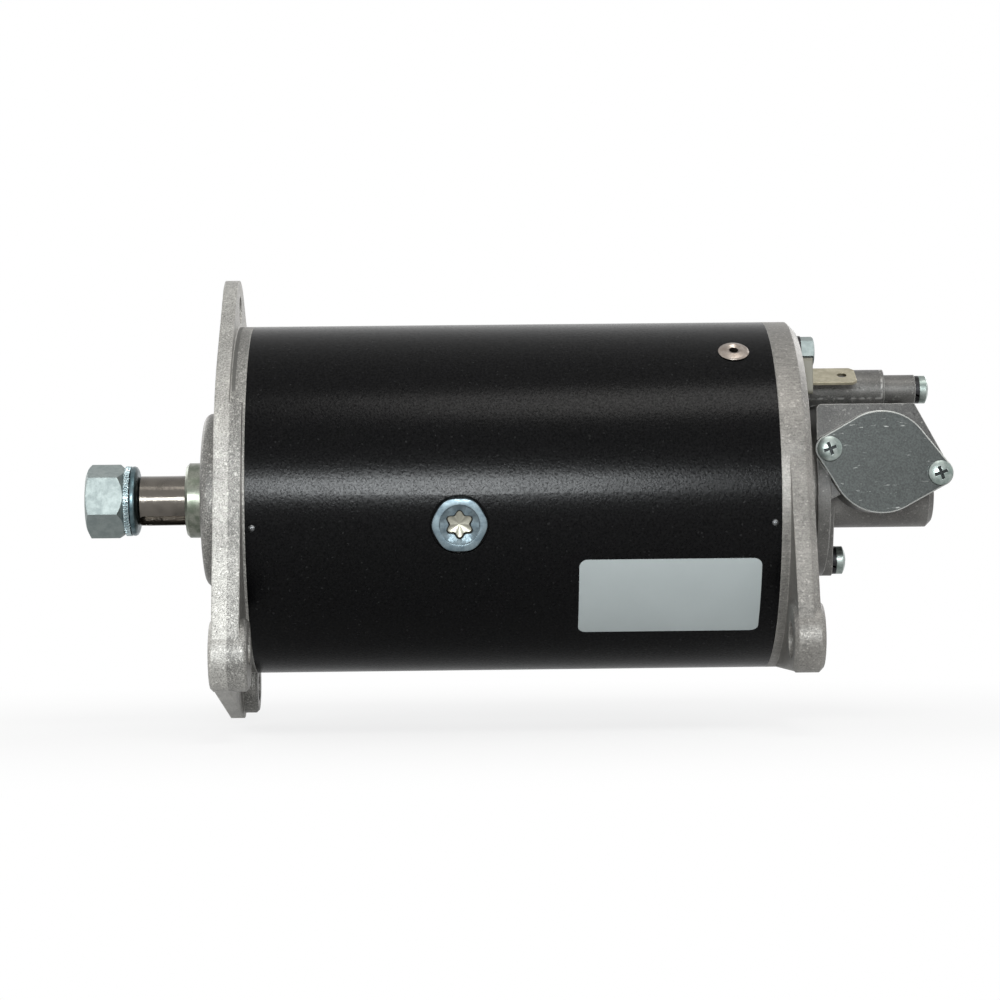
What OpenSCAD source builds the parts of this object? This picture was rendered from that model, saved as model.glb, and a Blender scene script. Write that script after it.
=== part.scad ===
// Two-pole tractor generator with a keyed drive shaft and a right-angle rev-counter drive.
// The X axis is the armature's axis. X = 0 is the pulley seat, the drive end points to -X,
// the adjusting ear is on top (+Z) and the hinge lugs are low on the near side (-Y, -Z).

/* [Yoke] */
// Outside diameter of the steel yoke
yoke_d = 101.6; // [99:0.1:103]
// Wall of the yoke
yoke_wall = 4.8; // [4.5:0.1:5.2]
// Length of the yoke
yoke_len = 148.4; // [147:0.1:160]
// How far the poles are turned below level
pole_tilt = 8.5; // [0:0.5:12]

/* [Armature] */
// Diameter of the shaft's journals
shaft_d = 15; // [14.8:0.1:15.2]
// Diameter of the keyed pulley seat
seat_d = 14.6; // [14:0.1:14.6]
// Diameter of the threaded end
thread_d = 12; // [10:0.5:13]
// Free shaft between the pulley seat and the thread
pulley_room = 14; // [12:0.5:24]
// Width of the keyway
key_w = 5; // [4:0.5:6]
// Depth of the keyway
key_depth = 2.5; // [1.5:0.1:3]
// Length of the keyway
key_len = 12; // [8:0.5:12.5]
// How far the keyway is turned below level
key_drop = 58; // [0:1:90]
// Outside diameter of the laminated core
core_d = 61; // [58:0.5:61]
// Gap between the bearing's screws and the windings
front_room = 1.7; // [1.5:0.1:6]
// Length of the leads between the windings and the commutator
rear_room = 7.5; // [6:0.5:12]
// Number of winding slots
core_slots = 22; // [14:1:24]
// Diameter of the commutator's running face
comm_d = 36; // [34:0.5:38]
// Length of the commutator bars
comm_len = 21; // [19:0.5:22]
// Number of commutator bars
comm_bars = 28; // [18:1:30]

/* [Shaft fittings] */
// Size of the shaft nut across its flats
nut_af = 19; // [17:0.5:20]
// Height of the shaft nut
nut_h = 11; // [9:0.5:12]
// Outside diameter of the shaft spring washer
lock_d = 20.6; // [19:0.1:22]
// Thickness of the shaft spring washer
lock_t = 4.2; // [3:0.1:5]
// Outside diameter of the pulley spacer
spacer_d = 22; // [20:0.5:23]

/* [Drive end bearing] */
// Outside diameter of the ball bearing
bearing_d = 35; // [34:0.5:36]
// Width of the ball bearing
bearing_w = 11; // [10:0.5:12]
// Diameter of the bearing balls
ball_d = 6; // [5.6:0.1:6.2]
// Number of bearing balls
ball_count = 8; // [6:1:8]
// Width of the felt ring
felt_w = 3.5; // [3:0.1:4.5]

/* [Drive end bracket] */
// Distance from the pulley seat to the bearing boss
boss_stand = 5.6; // [4:0.1:9]
// Diameter of the bearing boss
boss_d = 51; // [48:0.5:52]
// Height of the bearing boss in front of the plate
boss_h = 6.6; // [5:0.1:8]
// Radius of the bracket plate
plate_r = 54; // [53:0.1:56]
// Thickness of the bracket plate
plate_t = 4; // [3:0.1:5]
// Thickness of the rim behind the plate
rim_t = 4.3; // [3.5:0.1:6]
// Radius of the adjusting ear
ear_r = 20; // [17:0.5:24]
// Height of the adjusting ear's tip above the axis
ear_top = 64.3; // [62:0.1:70]
// Diameter of the adjusting ear's hole
ear_hole_d = 8.2; // [6.5:0.1:9]
// Thickness of the arm that runs down to the hinge lug
arm_t = 7.6; // [6:0.1:8]
// Radius of the lower lug
foot_r = 10.5; // [9:0.1:12]

/* [Hinge lugs] */
// Sideways distance of the hinge axis from the armature axis
hinge_y = 56; // [54:0.5:62]
// Depth of the hinge axis below the armature axis
hinge_z = 40; // [38:0.5:44]
// Diameter of the hinge bolt holes
hinge_hole_d = 10.2; // [8.2:0.1:11]
// Radius of the drive end lug
lug_r = 10; // [9:0.1:12]
// Width of the drive end lug
lug_w = 10.5; // [9:0.1:12]
// Radius of the commutator end lug
rear_lug_r = 10; // [8.5:0.1:11]
// Width of the commutator end lug
rear_lug_w = 8.6; // [7:0.1:9]

/* [Commutator end bracket] */
// Width of the bracket's rim
rear_rim_w = 8.9; // [8:0.1:11]
// Thickness of the bracket's end wall
rear_wall = 5.4; // [4.8:0.1:6]
// Height of the hub behind the end wall
hub_h = 4.8; // [4:0.1:7]
// Length of the bearing bush
bush_len = 16; // [13:0.5:18]

/* [Brush gear] */
// Width of a brush along the axis
brush_w = 12.5; // [10:0.5:13.5]
// Thickness of a brush round the commutator
brush_t = 5.5; // [4.5:0.5:6.5]
// Length of a new brush
brush_len = 17; // [15.5:0.5:18]
// Wall of a brush holder
holder_wall = 1.2; // [1:0.1:1.5]

/* [Fastenings] */
// Diameter of the through bolts
bolt_d = 5; // [4.5:0.1:5.5]
// Distance of the through bolts from the axis
bolt_r = 42; // [41.6:0.1:42.4]
// Size of the through bolt heads across their flats
bolt_af = 8; // [7:0.1:9]
// Diameter of the rev-counter housing's screws
screw_d = 4; // [3.5:0.1:4.5]
// Diameter of those screws' heads
screw_head_d = 8.2; // [7:0.1:9]

/* [Terminals] */
// Width of the output blade
output_w = 9.5; // [8:0.1:10]
// Width of the field blade
field_w = 6.3; // [5:0.1:7]
// Thickness of the blades
blade_t = 0.9; // [0.6:0.1:1.2]
// Length of the output blade outside its block
blade_len = 13.3; // [10:0.1:16]

/* [Rev-counter drive] */
// Distance between the armature axis and the cross spindle
cross_z = 9; // [8.9:0.05:9.2]
// Pitch radius of the driven gear
gear_pitch_r = 5.4; // [5.35:0.05:5.45]
// Radius of the gear chamber's casting
chamber_r = 14.7; // [13.5:0.1:16]
// Radius of the horizontal barrel
barrel_r = 10; // [9.5:0.1:11]
// Thickness of the cover plate
cover_t = 1.2; // [0.8:0.1:2]
// Radius of the cable union's thread
union_r = 9; // [8:0.1:10]

/* [Hidden] */
$fn = 64;

// Clearances: a running fit, a sliding fit, and the gap at a face that turns past another
fit = 0.05;
slide_fit = 0.1;
face_gap = 0.3;
// Step between a cast outline and the machined face or boss on it
step_in = 0.25;
belt_in = 0.04;
// Gap between the yoke's end and the arm of the commutator end bracket
arm_gap = 2.5;
// How far a cutting tool runs past a face
over = 1;

// Stations along X, from the pulley seat
x_thread = -pulley_room;
x_nut = x_thread - lock_t;
x_boss = boss_stand;
x_plate = x_boss + boss_h;
x_rim = x_plate + plate_t;
x_yoke = x_rim + rim_t;
x_yoke_end = x_yoke + yoke_len;
x_rear_face = x_yoke_end + rear_rim_w;
x_rear_inner = x_rear_face - rear_wall;
x_hub = x_rear_face + hub_h;
x_lug = x_plate - 0.9;
x_rear_lug = x_rear_face + 1 - rear_lug_w;

// Yoke and poles
yoke_r = yoke_d / 2;
yoke_ri = yoke_r - yoke_wall;
spigot_r = yoke_ri - fit;
spigot_wall = 2.9;
spigot_len = 3;
air_gap = 0.7;
core_r = core_d / 2;
pole_bore = core_r + air_gap;
pole_neck = 40;
pole_tip_t = 4.3;
tip_span = 29;
coil_gap = 0.5;
coil_w = 11;
pole_screw_d = 8;
pole_head_d = 15.5;
pole_recess = 2.2;
pole_socket_d = 8.4;
pole_ring_d = 11;
rivet_from_end = 10.9;
rivet_rise = 53;
field_rivet_r = 2.6;
field_rivet_head_r = 4.4;
field_rivet_bore_r = 1.3;
dowel_r = 1.1;
dowel_drop = 7.8;
dowel_from_end = 0.8;

// Centres in the Y-Z plane
hinge_c = [-hinge_y, -hinge_z];
lug_c = hinge_c - [0, 2.4];
rear_lug_c = hinge_c + [0, 1];
ear_c = [-2, ear_top - ear_r];
foot_c = [-1, -ear_top + foot_r];
foot_boss_r = foot_r - 1.8;
arm_top = 27;
arm_in = 36.6;
foot_hole_c = foot_c - [0, 1.3];
ear_hole_c = [-2, ear_top - ear_hole_d / 2 - 4.6];
bolt_places = [[0, bolt_r], [0, -bolt_r]];

// Bearing seat in the drive end bracket
lip_t = 2;
pressure_t = 1;
x_bearing = x_boss + lip_t + felt_w + pressure_t;
x_bearing_end = x_bearing + bearing_w;
bearing_r = bearing_d / 2;
shaft_r = shaft_d / 2;
race_mid = (bearing_r + shaft_r) / 2;
race_gap = 1.2;
groove_r = ball_d / 2 + fit;
retainer_t = 1.5;
boss_r = boss_d / 2;
retainer_r = boss_r - 1;
retainer_screw_r = (bearing_r + retainer_r) / 2 + 0.4;
retainer_screw_d = 3;
retainer_places = [for (a = [45:90:315]) retainer_screw_r * [cos(a), sin(a)]];
retainer_head_t = 1.4;
shoulder_r = shaft_r + 2;
seat_r = seat_d / 2;
race_lap = 0.6;

// Armature stations: the core fills the room between the bearing's screws and the commutator
slot_w = 3;
slot_depth = 8;
winding_overhang = 10;
rear_overhang = 14;
leads_r = 15;
leads_t = 3;
x_bush = x_hub - 0.2 - bush_len;
x_thrust_end = x_bush - face_gap;
thrust_t = 1.5;
x_comm_end = x_thrust_end - thrust_t - 0.4;
x_comm = x_comm_end - comm_len;
x_core = x_bearing_end + retainer_t + retainer_head_t + front_room + winding_overhang;
x_core_end = x_comm - rear_room - rear_overhang;
core_len = x_core_end - x_core;
pole_x = (x_core + x_core_end) / 2;
pole_len = core_len + 4;
comm_r = comm_d / 2;
comm_hub_r = 11.5;
riser_w = 3;
riser_h = 3;
mica = 0.6;
bush_r = shaft_r + fit + 2.5;
rear_boss_r = bush_r + 4;
rear_hub_r = 20;
rear_edge = 2.2;

// Brush gear, drawn along +Y with the post on the +Z side
brush_x = x_comm + riser_w + (comm_len - riser_w) / 2;
brush_y = comm_r + 0.12;
holder_y = comm_r + 2;
holder_len = 14;
holder_end = holder_y + holder_len;
holder_half_x = brush_w / 2 + slide_fit + holder_wall;
holder_half_z = brush_t / 2 + slide_fit + holder_wall;
flange_low = [24, -9.8];
flange_high = [38, 15.2];
flange_t = 1.5;
packing_t = 1.6;
x_packing = x_rear_inner - packing_t;
x_flange = x_packing - flange_t;
post_y = brush_y + 10.9;
post_z = 12.5;
post_r = 1.5;
spring_w = 6;
spring_strip = 0.5;
spring_pitch = 1.1;
spring_turns = 2.5;
arm_r = 1.2;
arm_past = 1.8;
arm_y = brush_y + brush_len + face_gap + arm_r;
rivet_r = 1.5;
holder_rivets_yz = [[33, -6.5], [34, 6.8]];

// Terminals
terminal_y = 13.5;
terminal_z = 34;
output_tilt = 28;
block_plug = [12, 7];
block_collar = [15, 10.4];
block_out = 4;
block_lip = 1.5;
field_len = 9;

// Bolts and screws
pad_h = 1.6;
washer_t = 1.3;
bolt_head_h = 4;
screw_head_h = 3;
x_bolt_head = x_rear_face + pad_h + washer_t;

// Rev-counter drive, in row coordinates
cross_x = x_hub + 18.2;
flange_r = 24;
flange_w = 3.6;
leg_z = -19.6;
leg_r = 4.6;
leg_w = 6.7;
tube_z = 30.5;
tube_r = 6;
tube_small_r = 4.4;
tube_step = 22.3;
tube_end = 31.7;
barrel_end = 36;
body_front = -21.5;
body_back = 6;
body_top = 25.8;
body_corner = 1.5;
pad_front = -23.4;
gasket_t = 0.6;
lobe_r = 3.9;
left_lobe = [-15.1, 3.9];
right_lobe = [16.6, -3.3];
cover_bore_r = 11.2;
tube_foot_r = 5.6;
body_shoulder = 10;
web_tip = [-11.3, -9.1];
web_low = -12.8;
chamber_floor = 5;
spindle_bush_r = 5;
cover_screw_d = 3.5;
cover_head_d = 7;
gear_teeth = 12;
worm_starts = 3;
worm_pitch_r = cross_z - gear_pitch_r;
tooth_pitch = 2 * PI * gear_pitch_r / gear_teeth;
worm_lead = tooth_pitch * worm_starts;
worm_len = 14;
worm_tip = worm_pitch_r + 0.8;
worm_root = worm_pitch_r - 0.8;
worm_bore_r = 7.2;
gear_w = 7;
gear_tip = gear_pitch_r + 0.75;
gear_root = gear_pitch_r - 1.15;
backlash = 0.26;
pressure = 20;
spindle_r = 2.5;
spindle_end = 19.6;
bush_recess = 1;
cover_screw_len = 9;
washer_land = 2.2;
outlet_r = 11;
outlet_end = 20;
union_len = 12;
stem_r = 2.5;
stem_in = 10;

// Outline helpers: a point on a circle, and the tangent angle of two circles
function on_circle(c, r, a) = c + r * [cos(a), sin(a)];
function bearing_of(a, b) = atan2(b.y - a.y, b.x - a.x);
function tangent_angle(a, ra, b, rb) = acos((ra - rb) / norm(b - a));

// The four corners of the lines that join two circles, a hair inside their tangent points
function belt_corners(a, ra, b, rb) =
    let (dir = bearing_of(a, b), phi = tangent_angle(a, ra, b, rb))
    [
        on_circle(a, ra - belt_in, dir - phi),
        on_circle(b, rb - belt_in, dir - phi),
        on_circle(b, rb - belt_in, dir + phi),
        on_circle(a, ra - belt_in, dir + phi)
    ];

// Two discs and the tangent lines between them, drawn flat
module belt_outline(a, ra, b, rb) {
    translate(a) circle(r = ra);
    translate(b) circle(r = rb);
    polygon(belt_corners(a, ra, b, rb));
}

module disc_with_edge(r, h, edge) {
    cylinder(r = r, h = h - edge);
    translate([0, 0, h - edge]) cylinder(r1 = r, r2 = r - edge, h = edge);
}

// Draws in the Y-Z plane and builds towards +X
module along_x(x = 0) {
    translate([x, 0, 0]) rotate([90, 0, 90]) children();
}

// Draws in the X-Z plane and builds towards -Y
module facing_near(y = 0) {
    translate([0, y, 0]) rotate([90, 0, 0]) children();
}

module ring(r_out, r_in, h) {
    difference() {
        cylinder(r = r_out, h = h);
        translate([0, 0, -over]) cylinder(r = r_in, h = h + 2 * over);
    }
}

// Turned ring with both outer edges broken
module soft_ring(r_out, r_in, h, edge) {
    rotate_extrude() polygon([
        [r_in, 0], [r_out - edge, 0], [r_out, edge], [r_out, h - edge], [r_out - edge, h], [r_in, h]
    ]);
}

module hexagon(af, h) {
    cylinder(d = af / cos(30), h = h, $fn = 6);
}

// Hexagon head or nut with its far face turned to a chamfer
module hex_head(af, h) {
    corner = af / cos(30) / 2;
    drop = (corner - af / 2) * 0.7;
    intersection() {
        hexagon(af, h);
        union() {
            cylinder(r = corner + over, h = h - drop);
            translate([0, 0, h - drop]) cylinder(r1 = corner, r2 = corner - 2 * drop, h = drop);
        }
    }
}

// Domed pan head with a cross recess, its seat at z = 0
module pan_head(d, h) {
    difference() {
        intersection() {
            cylinder(d = d, h = h);
            translate([0, 0, h - d]) sphere(r = d);
            translate([0, 0, -over]) cylinder(r1 = d / 2 + over + h, r2 = d / 2 - 0.2, h = over + h);
        }
        for (turn = [0, 90]) {
            rotate([0, 0, turn + 20]) translate([0, 0, h]) cube([d * 0.55, d * 0.13, h], center = true);
        }
    }
}

// Split spring washer, cut through at the given angle
module split_washer(r_out, r_in, t, at) {
    difference() {
        ring(r_out, r_in, t);
        rotate([0, 0, at]) translate([r_in - over, -0.3, -over]) rotate([-18, 0, 0])
            cube([r_out - r_in + 2 * over, 0.6, t + 4 * over]);
    }
}

// Puts its children, drawn along +Z from the axis, at both poles
module pole_places() {
    for (turn = [90, -90]) {
        translate([pole_x, 0, 0]) rotate([turn + pole_tilt, 0, 0]) children();
    }
}

module rivet_place() {
    translate([x_yoke_end - rivet_from_end, 0, 0]) rotate([90 - rivet_rise, 0, 0]) children();
}

// The steel balls that key the yoke to its brackets, on the near side and the far side
module dowel_places() {
    for (x = [x_yoke + dowel_r + dowel_from_end, x_yoke_end - dowel_r - dowel_from_end]) {
        for (side = [-1, 1]) {
            translate([x, side * sqrt(pow(yoke_r, 2) - pow(dowel_drop, 2)), side * dowel_drop]) children();
        }
    }
}

module yoke() {
    color("#161616") difference() {
        along_x(x_yoke) ring(yoke_r, yoke_ri, yoke_len);
        pole_places() {
            translate([0, 0, yoke_ri - over]) cylinder(d = pole_screw_d, h = yoke_wall + 2 * over);
            translate([0, 0, yoke_r - pole_recess]) cylinder(d = pole_head_d + 1, h = pole_recess + over);
        }
        rivet_place() {
            translate([0, 0, yoke_ri - over]) cylinder(r = field_rivet_r, h = yoke_wall + 2 * over);
        }
        dowel_places() sphere(r = dowel_r);
    }
}

module pole_shoes() {
    color("#3a3a3c") pole_places() {
        difference() {
            translate([-pole_len / 2, 0, 0]) rotate([90, 0, 90]) linear_extrude(pole_len) pole_section();
            translate([0, 0, pole_bore + 2]) cylinder(d = pole_screw_d, h = yoke_r);
        }
    }
}

// Section of a pole shoe: the thin tips hug the armature and the neck reaches the yoke
module pole_section() {
    difference() {
        union() {
            intersection() {
                circle(r = pole_bore + pole_tip_t);
                translate([-tip_span, 0]) square([2 * tip_span, yoke_r]);
            }
            intersection() {
                circle(r = yoke_ri);
                translate([-pole_neck / 2, 0]) square([pole_neck, yoke_r]);
            }
        }
        circle(r = pole_bore);
    }
}

// Round headed pole screws with a ringed face and a six-lobed socket
module pole_screws() {
    seat = yoke_r - pole_recess;
    head_h = 3;
    color("#aeb6b8") pole_places() {
        translate([0, 0, pole_bore + 2]) cylinder(d = pole_screw_d, h = seat - pole_bore - 2);
        translate([0, 0, seat]) difference() {
            rotate_extrude() polygon([
                [0, 0], [pole_head_d / 2, 0], [pole_head_d / 2, head_h - 1], [pole_head_d / 2 - 1, head_h],
                [pole_ring_d / 2, head_h], [pole_ring_d / 2, head_h - 0.3], [0, head_h - 0.3]
            ]);
            six_lobe_socket(pole_socket_d, head_h);
        }
    }
}

// A socket with six round lobes between its points
module six_lobe_socket(d, h) {
    translate([0, 0, 0.8]) linear_extrude(h) {
        circle(d = d * 0.72);
        for (lobe = [0:5]) {
            rotate(lobe * 60) translate([d * 0.39, 0]) circle(d = d * 0.22);
        }
    }
}

// Field coils: flat wound rings bent to the yoke, one round each pole neck
module field_coils() {
    inner = [pole_len + 2 * coil_gap, pole_neck + 2 * coil_gap];
    outer = inner + 2 * [coil_w, coil_w];
    color("#6e5a3c") pole_places() {
        difference() {
            intersection() {
                linear_extrude(yoke_r) rounded_oblong(outer, coil_w);
                rotate([0, 90, 0]) translate([0, 0, -outer.x / 2]) ring(
                    yoke_ri - coil_gap, pole_bore + pole_tip_t + coil_gap, outer.x
                );
            }
            linear_extrude(yoke_r) rounded_oblong(inner, 2);
        }
    }
}

module rounded_oblong(size, r) {
    square([size.x - 2 * r, size.y], center = true);
    square([size.x, size.y - 2 * r], center = true);
    for (x = [-1, 1]) {
        for (y = [-1, 1]) {
            translate([x * (size.x / 2 - r), y * (size.y / 2 - r)]) circle(r = r);
        }
    }
}

module field_rivet() {
    flange = field_rivet_r + 1;
    flange_top = sqrt(pow(yoke_ri, 2) - pow(flange, 2)) - yoke_ri + 0.95;
    color("#b9ab9a") rivet_place() {
        translate([0, 0, yoke_ri - 1]) rotate_extrude() polygon([
            [field_rivet_bore_r, 0], [flange, 0], [flange, flange_top], [field_rivet_r, flange_top], [field_rivet_r, yoke_wall + 1.1], [field_rivet_head_r, yoke_wall + 1.1],
            [field_rivet_head_r - 0.5, yoke_wall + 1.5], [field_rivet_bore_r + 1, yoke_wall + 2],
            [field_rivet_bore_r, yoke_wall + 1.6]
        ]);
    }
}

module locating_dowels() {
    color("#c9cdd0") dowel_places() sphere(r = dowel_r);
}

// Outline of the plate: the round body, the ear above and two lugs below
module plate_outline() {
    corners = [[0, 0], ear_c, lug_c, foot_c];
    radii = [plate_r, ear_r, lug_r - step_in, foot_r - step_in];
    for (i = [0:3]) {
        translate(corners[i]) circle(r = radii[i]);
    }
    for (pair = [[0, 1], [0, 2], [3, 2], [0, 3]]) {
        a = pair.x;
        b = pair.y;
        polygon(belt_corners(corners[a], radii[a], corners[b], radii[b]));
    }
}

module drive_end_bracket() {
    color("#b5b1a9") difference() {
        union() {
            along_x(x_plate) linear_extrude(plate_t) plate_outline();
            // Rim, spigot and hub behind the plate
            along_x(x_plate + over) cylinder(r = yoke_r, h = plate_t + rim_t - over);
            along_x(x_rim) cylinder(r = spigot_r, h = rim_t + spigot_len);
            along_x(x_boss) soft_boss(boss_r, boss_h + over, 2.4);
            // Thick arm down to the hinge lug
            along_x(x_rim) linear_extrude(arm_t - plate_t) intersection() {
                plate_outline();
                arm_area();
            }
            along_x(x_lug) translate(lug_c) soft_disc(lug_r, lug_w, 0.8);
            along_x(x_plate + over) translate(foot_c) soft_disc(foot_boss_r, x_yoke - x_plate - over, 0.8);
        }
        // Hollow between the spigot and the hub
        along_x(x_rim) difference() {
            cylinder(r = spigot_r - spigot_wall, h = rim_t + spigot_len + over);
            cylinder(r = boss_r, h = x_bearing_end - x_rim);
            for (c = bolt_places) {
                translate(c) cylinder(r = bolt_d / 2 + 3.4, h = rim_t);
            }
            for (turn = [30:60:330]) {
                rotate(turn) translate([0, -1.5, 0]) cube([spigot_r, 3, rim_t - 1]);
            }
        }
        // Bearing seat, felt seat and lip
        along_x(x_boss + lip_t) cylinder(r = bearing_r, h = x_bearing_end - x_boss);
        along_x(x_boss - over) cylinder(r = spacer_d / 2 + 1.6, h = lip_t + 2 * over);
        for (at = retainer_places) {
            along_x(x_bearing_end - 5) translate(at) cylinder(d = retainer_screw_d, h = 6);
        }
        for (c = bolt_places) {
            along_x(x_plate + 1.5) translate(c) cylinder(d = bolt_d, h = plate_t + rim_t + spigot_len);
        }
        along_x(x_lug - over) translate(hinge_c) cylinder(d = hinge_hole_d, h = lug_w + 2 * over);
        along_x(x_plate - over) translate(foot_hole_c) cylinder(d = ear_hole_d, h = lug_w + 2 * over);
        along_x(x_plate - over) translate(ear_hole_c) cylinder(d = ear_hole_d, h = plate_t + 2 * over);
    }
}

// The part of the bracket's outline that the thick arm covers
module arm_area() {
    side = plate_r + hinge_y;
    translate([-side, -hinge_z]) square([side - arm_in, hinge_z + arm_top]);
}

module edge_cone(r, edge) {
    cylinder(r1 = r, r2 = r - edge, h = edge, $fn = 48);
}

module soft_disc(r, h, edge) {
    cylinder(r1 = r - edge, r2 = r, h = edge);
    translate([0, 0, edge]) cylinder(r = r, h = h - 2 * edge);
    translate([0, 0, h - edge]) cylinder(r1 = r, r2 = r - edge, h = edge);
}

// Boss whose front edge is domed by three steps of a quarter round
module soft_boss(r, h, dome) {
    rotate_extrude() polygon(concat(
        [[0, 0]],
        [for (a = [0:18:90]) [r - dome + dome * sin(a), dome - dome * cos(a)]],
        [[r, h], [0, h]]
    ));
}

module bearing_retainer() {
    color("#8f949a") along_x(x_bearing_end) difference() {
        ring(retainer_r, bearing_r - 4, retainer_t);
        for (at = retainer_places) {
            translate([at.x, at.y, -over]) cylinder(d = retainer_screw_d, h = retainer_t + 2 * over);
        }
    }
}

module retainer_screws() {
    head_r = retainer_screw_d * 0.9;
    color("#a9adb0") along_x(x_bearing_end) for (at = retainer_places) {
        translate(at) {
            translate([0, 0, -5]) cylinder(d = retainer_screw_d, h = 5 + retainer_t);
            translate([0, 0, retainer_t]) cylinder(r1 = head_r, r2 = head_r - 0.7, h = retainer_head_t);
        }
    }
}

module felt_ring() {
    color("#d9cfb4") along_x(x_boss + lip_t) ring(bearing_r, spacer_d / 2 + slide_fit, felt_w);
}

module felt_pressure_ring() {
    color("#8d9298") along_x(x_bearing - pressure_t) ring(bearing_r, spacer_d / 2 + 0.5, pressure_t);
}

module bearing_outer_race() {
    inner = race_mid + ball_d / 2 - race_gap + race_lap;
    color("#c3c7cb") along_x(x_bearing) difference() {
        ring(bearing_r, inner, bearing_w);
        ball_track();
    }
}

module bearing_inner_race() {
    outer = race_mid - ball_d / 2 + race_gap - race_lap;
    color("#c3c7cb") along_x(x_bearing) difference() {
        ring(outer, shaft_r, bearing_w);
        ball_track();
    }
}

// The round track that the balls run in
module ball_track() {
    translate([0, 0, bearing_w / 2]) rotate_extrude() translate([race_mid, 0]) circle(r = groove_r);
}

module ball_places() {
    for (i = [0:ball_count - 1]) {
        along_x(x_bearing + bearing_w / 2) rotate(i * 360 / ball_count) translate([race_mid, 0, 0]) children();
    }
}

module bearing_balls() {
    color("#dfe3e6") ball_places() sphere(d = ball_d);
}

module bearing_cage() {
    cage_w = ball_d + 1.8;
    color("#b0924f") difference() {
        along_x(x_bearing + (bearing_w - cage_w) / 2) ring(race_mid + 0.9, race_mid - 0.9, cage_w);
        ball_places() rotate([0, 90, 0]) cylinder(d = ball_d + 2 * fit, h = ball_d, center = true);
    }
}

// Armature shaft: thread, keyed seat, bearing journal, shoulder, core seat and bush journal
module armature_shaft() {
    thread_end = x_nut - nut_h + 0.6;
    chamfer = 1;
    color("#9a9c9e") difference() {
        along_x(0) rotate_extrude() polygon([
            [0, thread_end], [thread_d / 2 - chamfer, thread_end], [thread_d / 2, thread_end + chamfer],
            [thread_d / 2, x_thread], [seat_r - 0.5, x_thread], [seat_r, x_thread + 0.5],
            [seat_r, 0], [shaft_r, 0], [shaft_r, x_bearing_end], [shoulder_r, x_bearing_end], [shoulder_r, x_comm - 2],
            [shaft_r, x_comm - 2], [shaft_r, x_hub - 0.6], [shaft_r - 0.4, x_hub - 0.2], [0, x_hub - 0.2]
        ]);
        along_x(x_hub - 0.2 - stem_in) cylinder(r = stem_r, h = stem_in + over);
        rotate([90 + key_drop, 0, 0]) keyway_cutter();
    }
}

// Keyway cutter, drawn along +Z from the axis: square at the seat, round at the far end
module keyway_cutter() {
    translate([0, 0, seat_r - key_depth]) {
        translate([-key_len, -key_w / 2, 0]) cube([key_len, key_w, key_depth + over]);
        translate([-key_len, 0, 0]) cylinder(d = key_w, h = key_depth + over);
    }
}

module core_slot(w, depth) {
    translate([0, -w / 2, core_r - depth]) cube([core_len + 2 * over, w, depth + over]);
}

module armature_core() {
    color("#55575a") difference() {
        along_x(x_core) ring(core_r, shoulder_r, core_len);
        for (i = [0:core_slots - 1]) {
            rotate([i * 360 / core_slots, 0, 0]) translate([x_core - over, 0, 0]) core_slot(slot_w, slot_depth);
        }
    }
}

// Coils in the slots, and the overhangs at both ends of the core
module armature_windings() {
    bar_w = slot_w - 2 * fit;
    top = core_r - 1.2;
    low = core_r - slot_depth + fit;
    overhang_r = core_r - 2;
    color("#a5572b") {
        for (i = [0:core_slots - 1]) {
            rotate([i * 360 / core_slots, 0, 0])
                translate([x_core - 0.5, -bar_w / 2, low]) cube([core_len + 1, bar_w, top - low]);
        }
        along_x(x_core - winding_overhang) winding_end(overhang_r, winding_overhang - fit);
        along_x(x_core_end + rear_overhang) mirror([0, 0, 1]) winding_end(overhang_r, rear_overhang - fit);
        // Leads up to the commutator's risers
        along_x(x_core_end + rear_overhang - 2) rotate_extrude() polygon([
            [leads_r, 0], [leads_r + leads_t, 0],
            [comm_r + riser_h - 0.5, x_comm - x_core_end - rear_overhang + 2],
            [comm_r - 1, x_comm - x_core_end - rear_overhang + 2]
        ]);
    }
}

// A winding overhang, its core side at z = h
module winding_end(r, h) {
    rotate_extrude() polygon([
        [shoulder_r + 0.5, 1], [r * 0.62, 0], [r * 0.86, 1.2], [r, 4], [r, h], [shoulder_r + 0.5, h]
    ]);
}

module commutator_hub() {
    color("#5b2f1c") along_x(x_comm - 0.8) ring(comm_hub_r, shaft_r, comm_len + 1.2);
}

module commutator_bars() {
    color("#b87345") difference() {
        along_x(x_comm) union() {
            ring(comm_r, comm_hub_r, comm_len);
            ring(comm_r + riser_h, comm_hub_r, riser_w);
        }
        for (i = [0:comm_bars - 1]) {
            rotate([i * 360 / comm_bars, 0, 0])
                translate([x_comm - over, -mica / 2, 0]) cube([comm_len + 2 * over, mica, comm_r + riser_h + over]);
        }
    }
}

module thrust_washer() {
    color("#7c4a2a") along_x(x_thrust_end - thrust_t) ring(shaft_r + 4, shaft_r, thrust_t);
}

module pulley_spacer() {
    color("#c9c6a0") along_x(0) soft_ring(spacer_d / 2, shaft_r, x_bearing, 0.8);
}

module shaft_lock_washer() {
    color("#a7b3bd") along_x(x_nut) split_washer(lock_d / 2, thread_d / 2, lock_t, 290);
}

module shaft_nut() {
    color("#bcc6cc") translate([x_nut, 0, 0]) rotate([20.5, 0, 0]) mirror([1, 0, 0]) along_x(0) difference() {
        intersection() {
            hex_head(nut_af, nut_h);
            cylinder(r1 = nut_af / 2, r2 = nut_af / 2 + nut_h, h = nut_h + over);
        }
        translate([0, 0, -over]) cylinder(d = thread_d, h = nut_h + 2 * over);
        translate([0, 0, nut_h - 0.8]) cylinder(d1 = thread_d, d2 = thread_d + 2.4, h = 0.8 + 0.4);
    }
}

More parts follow.
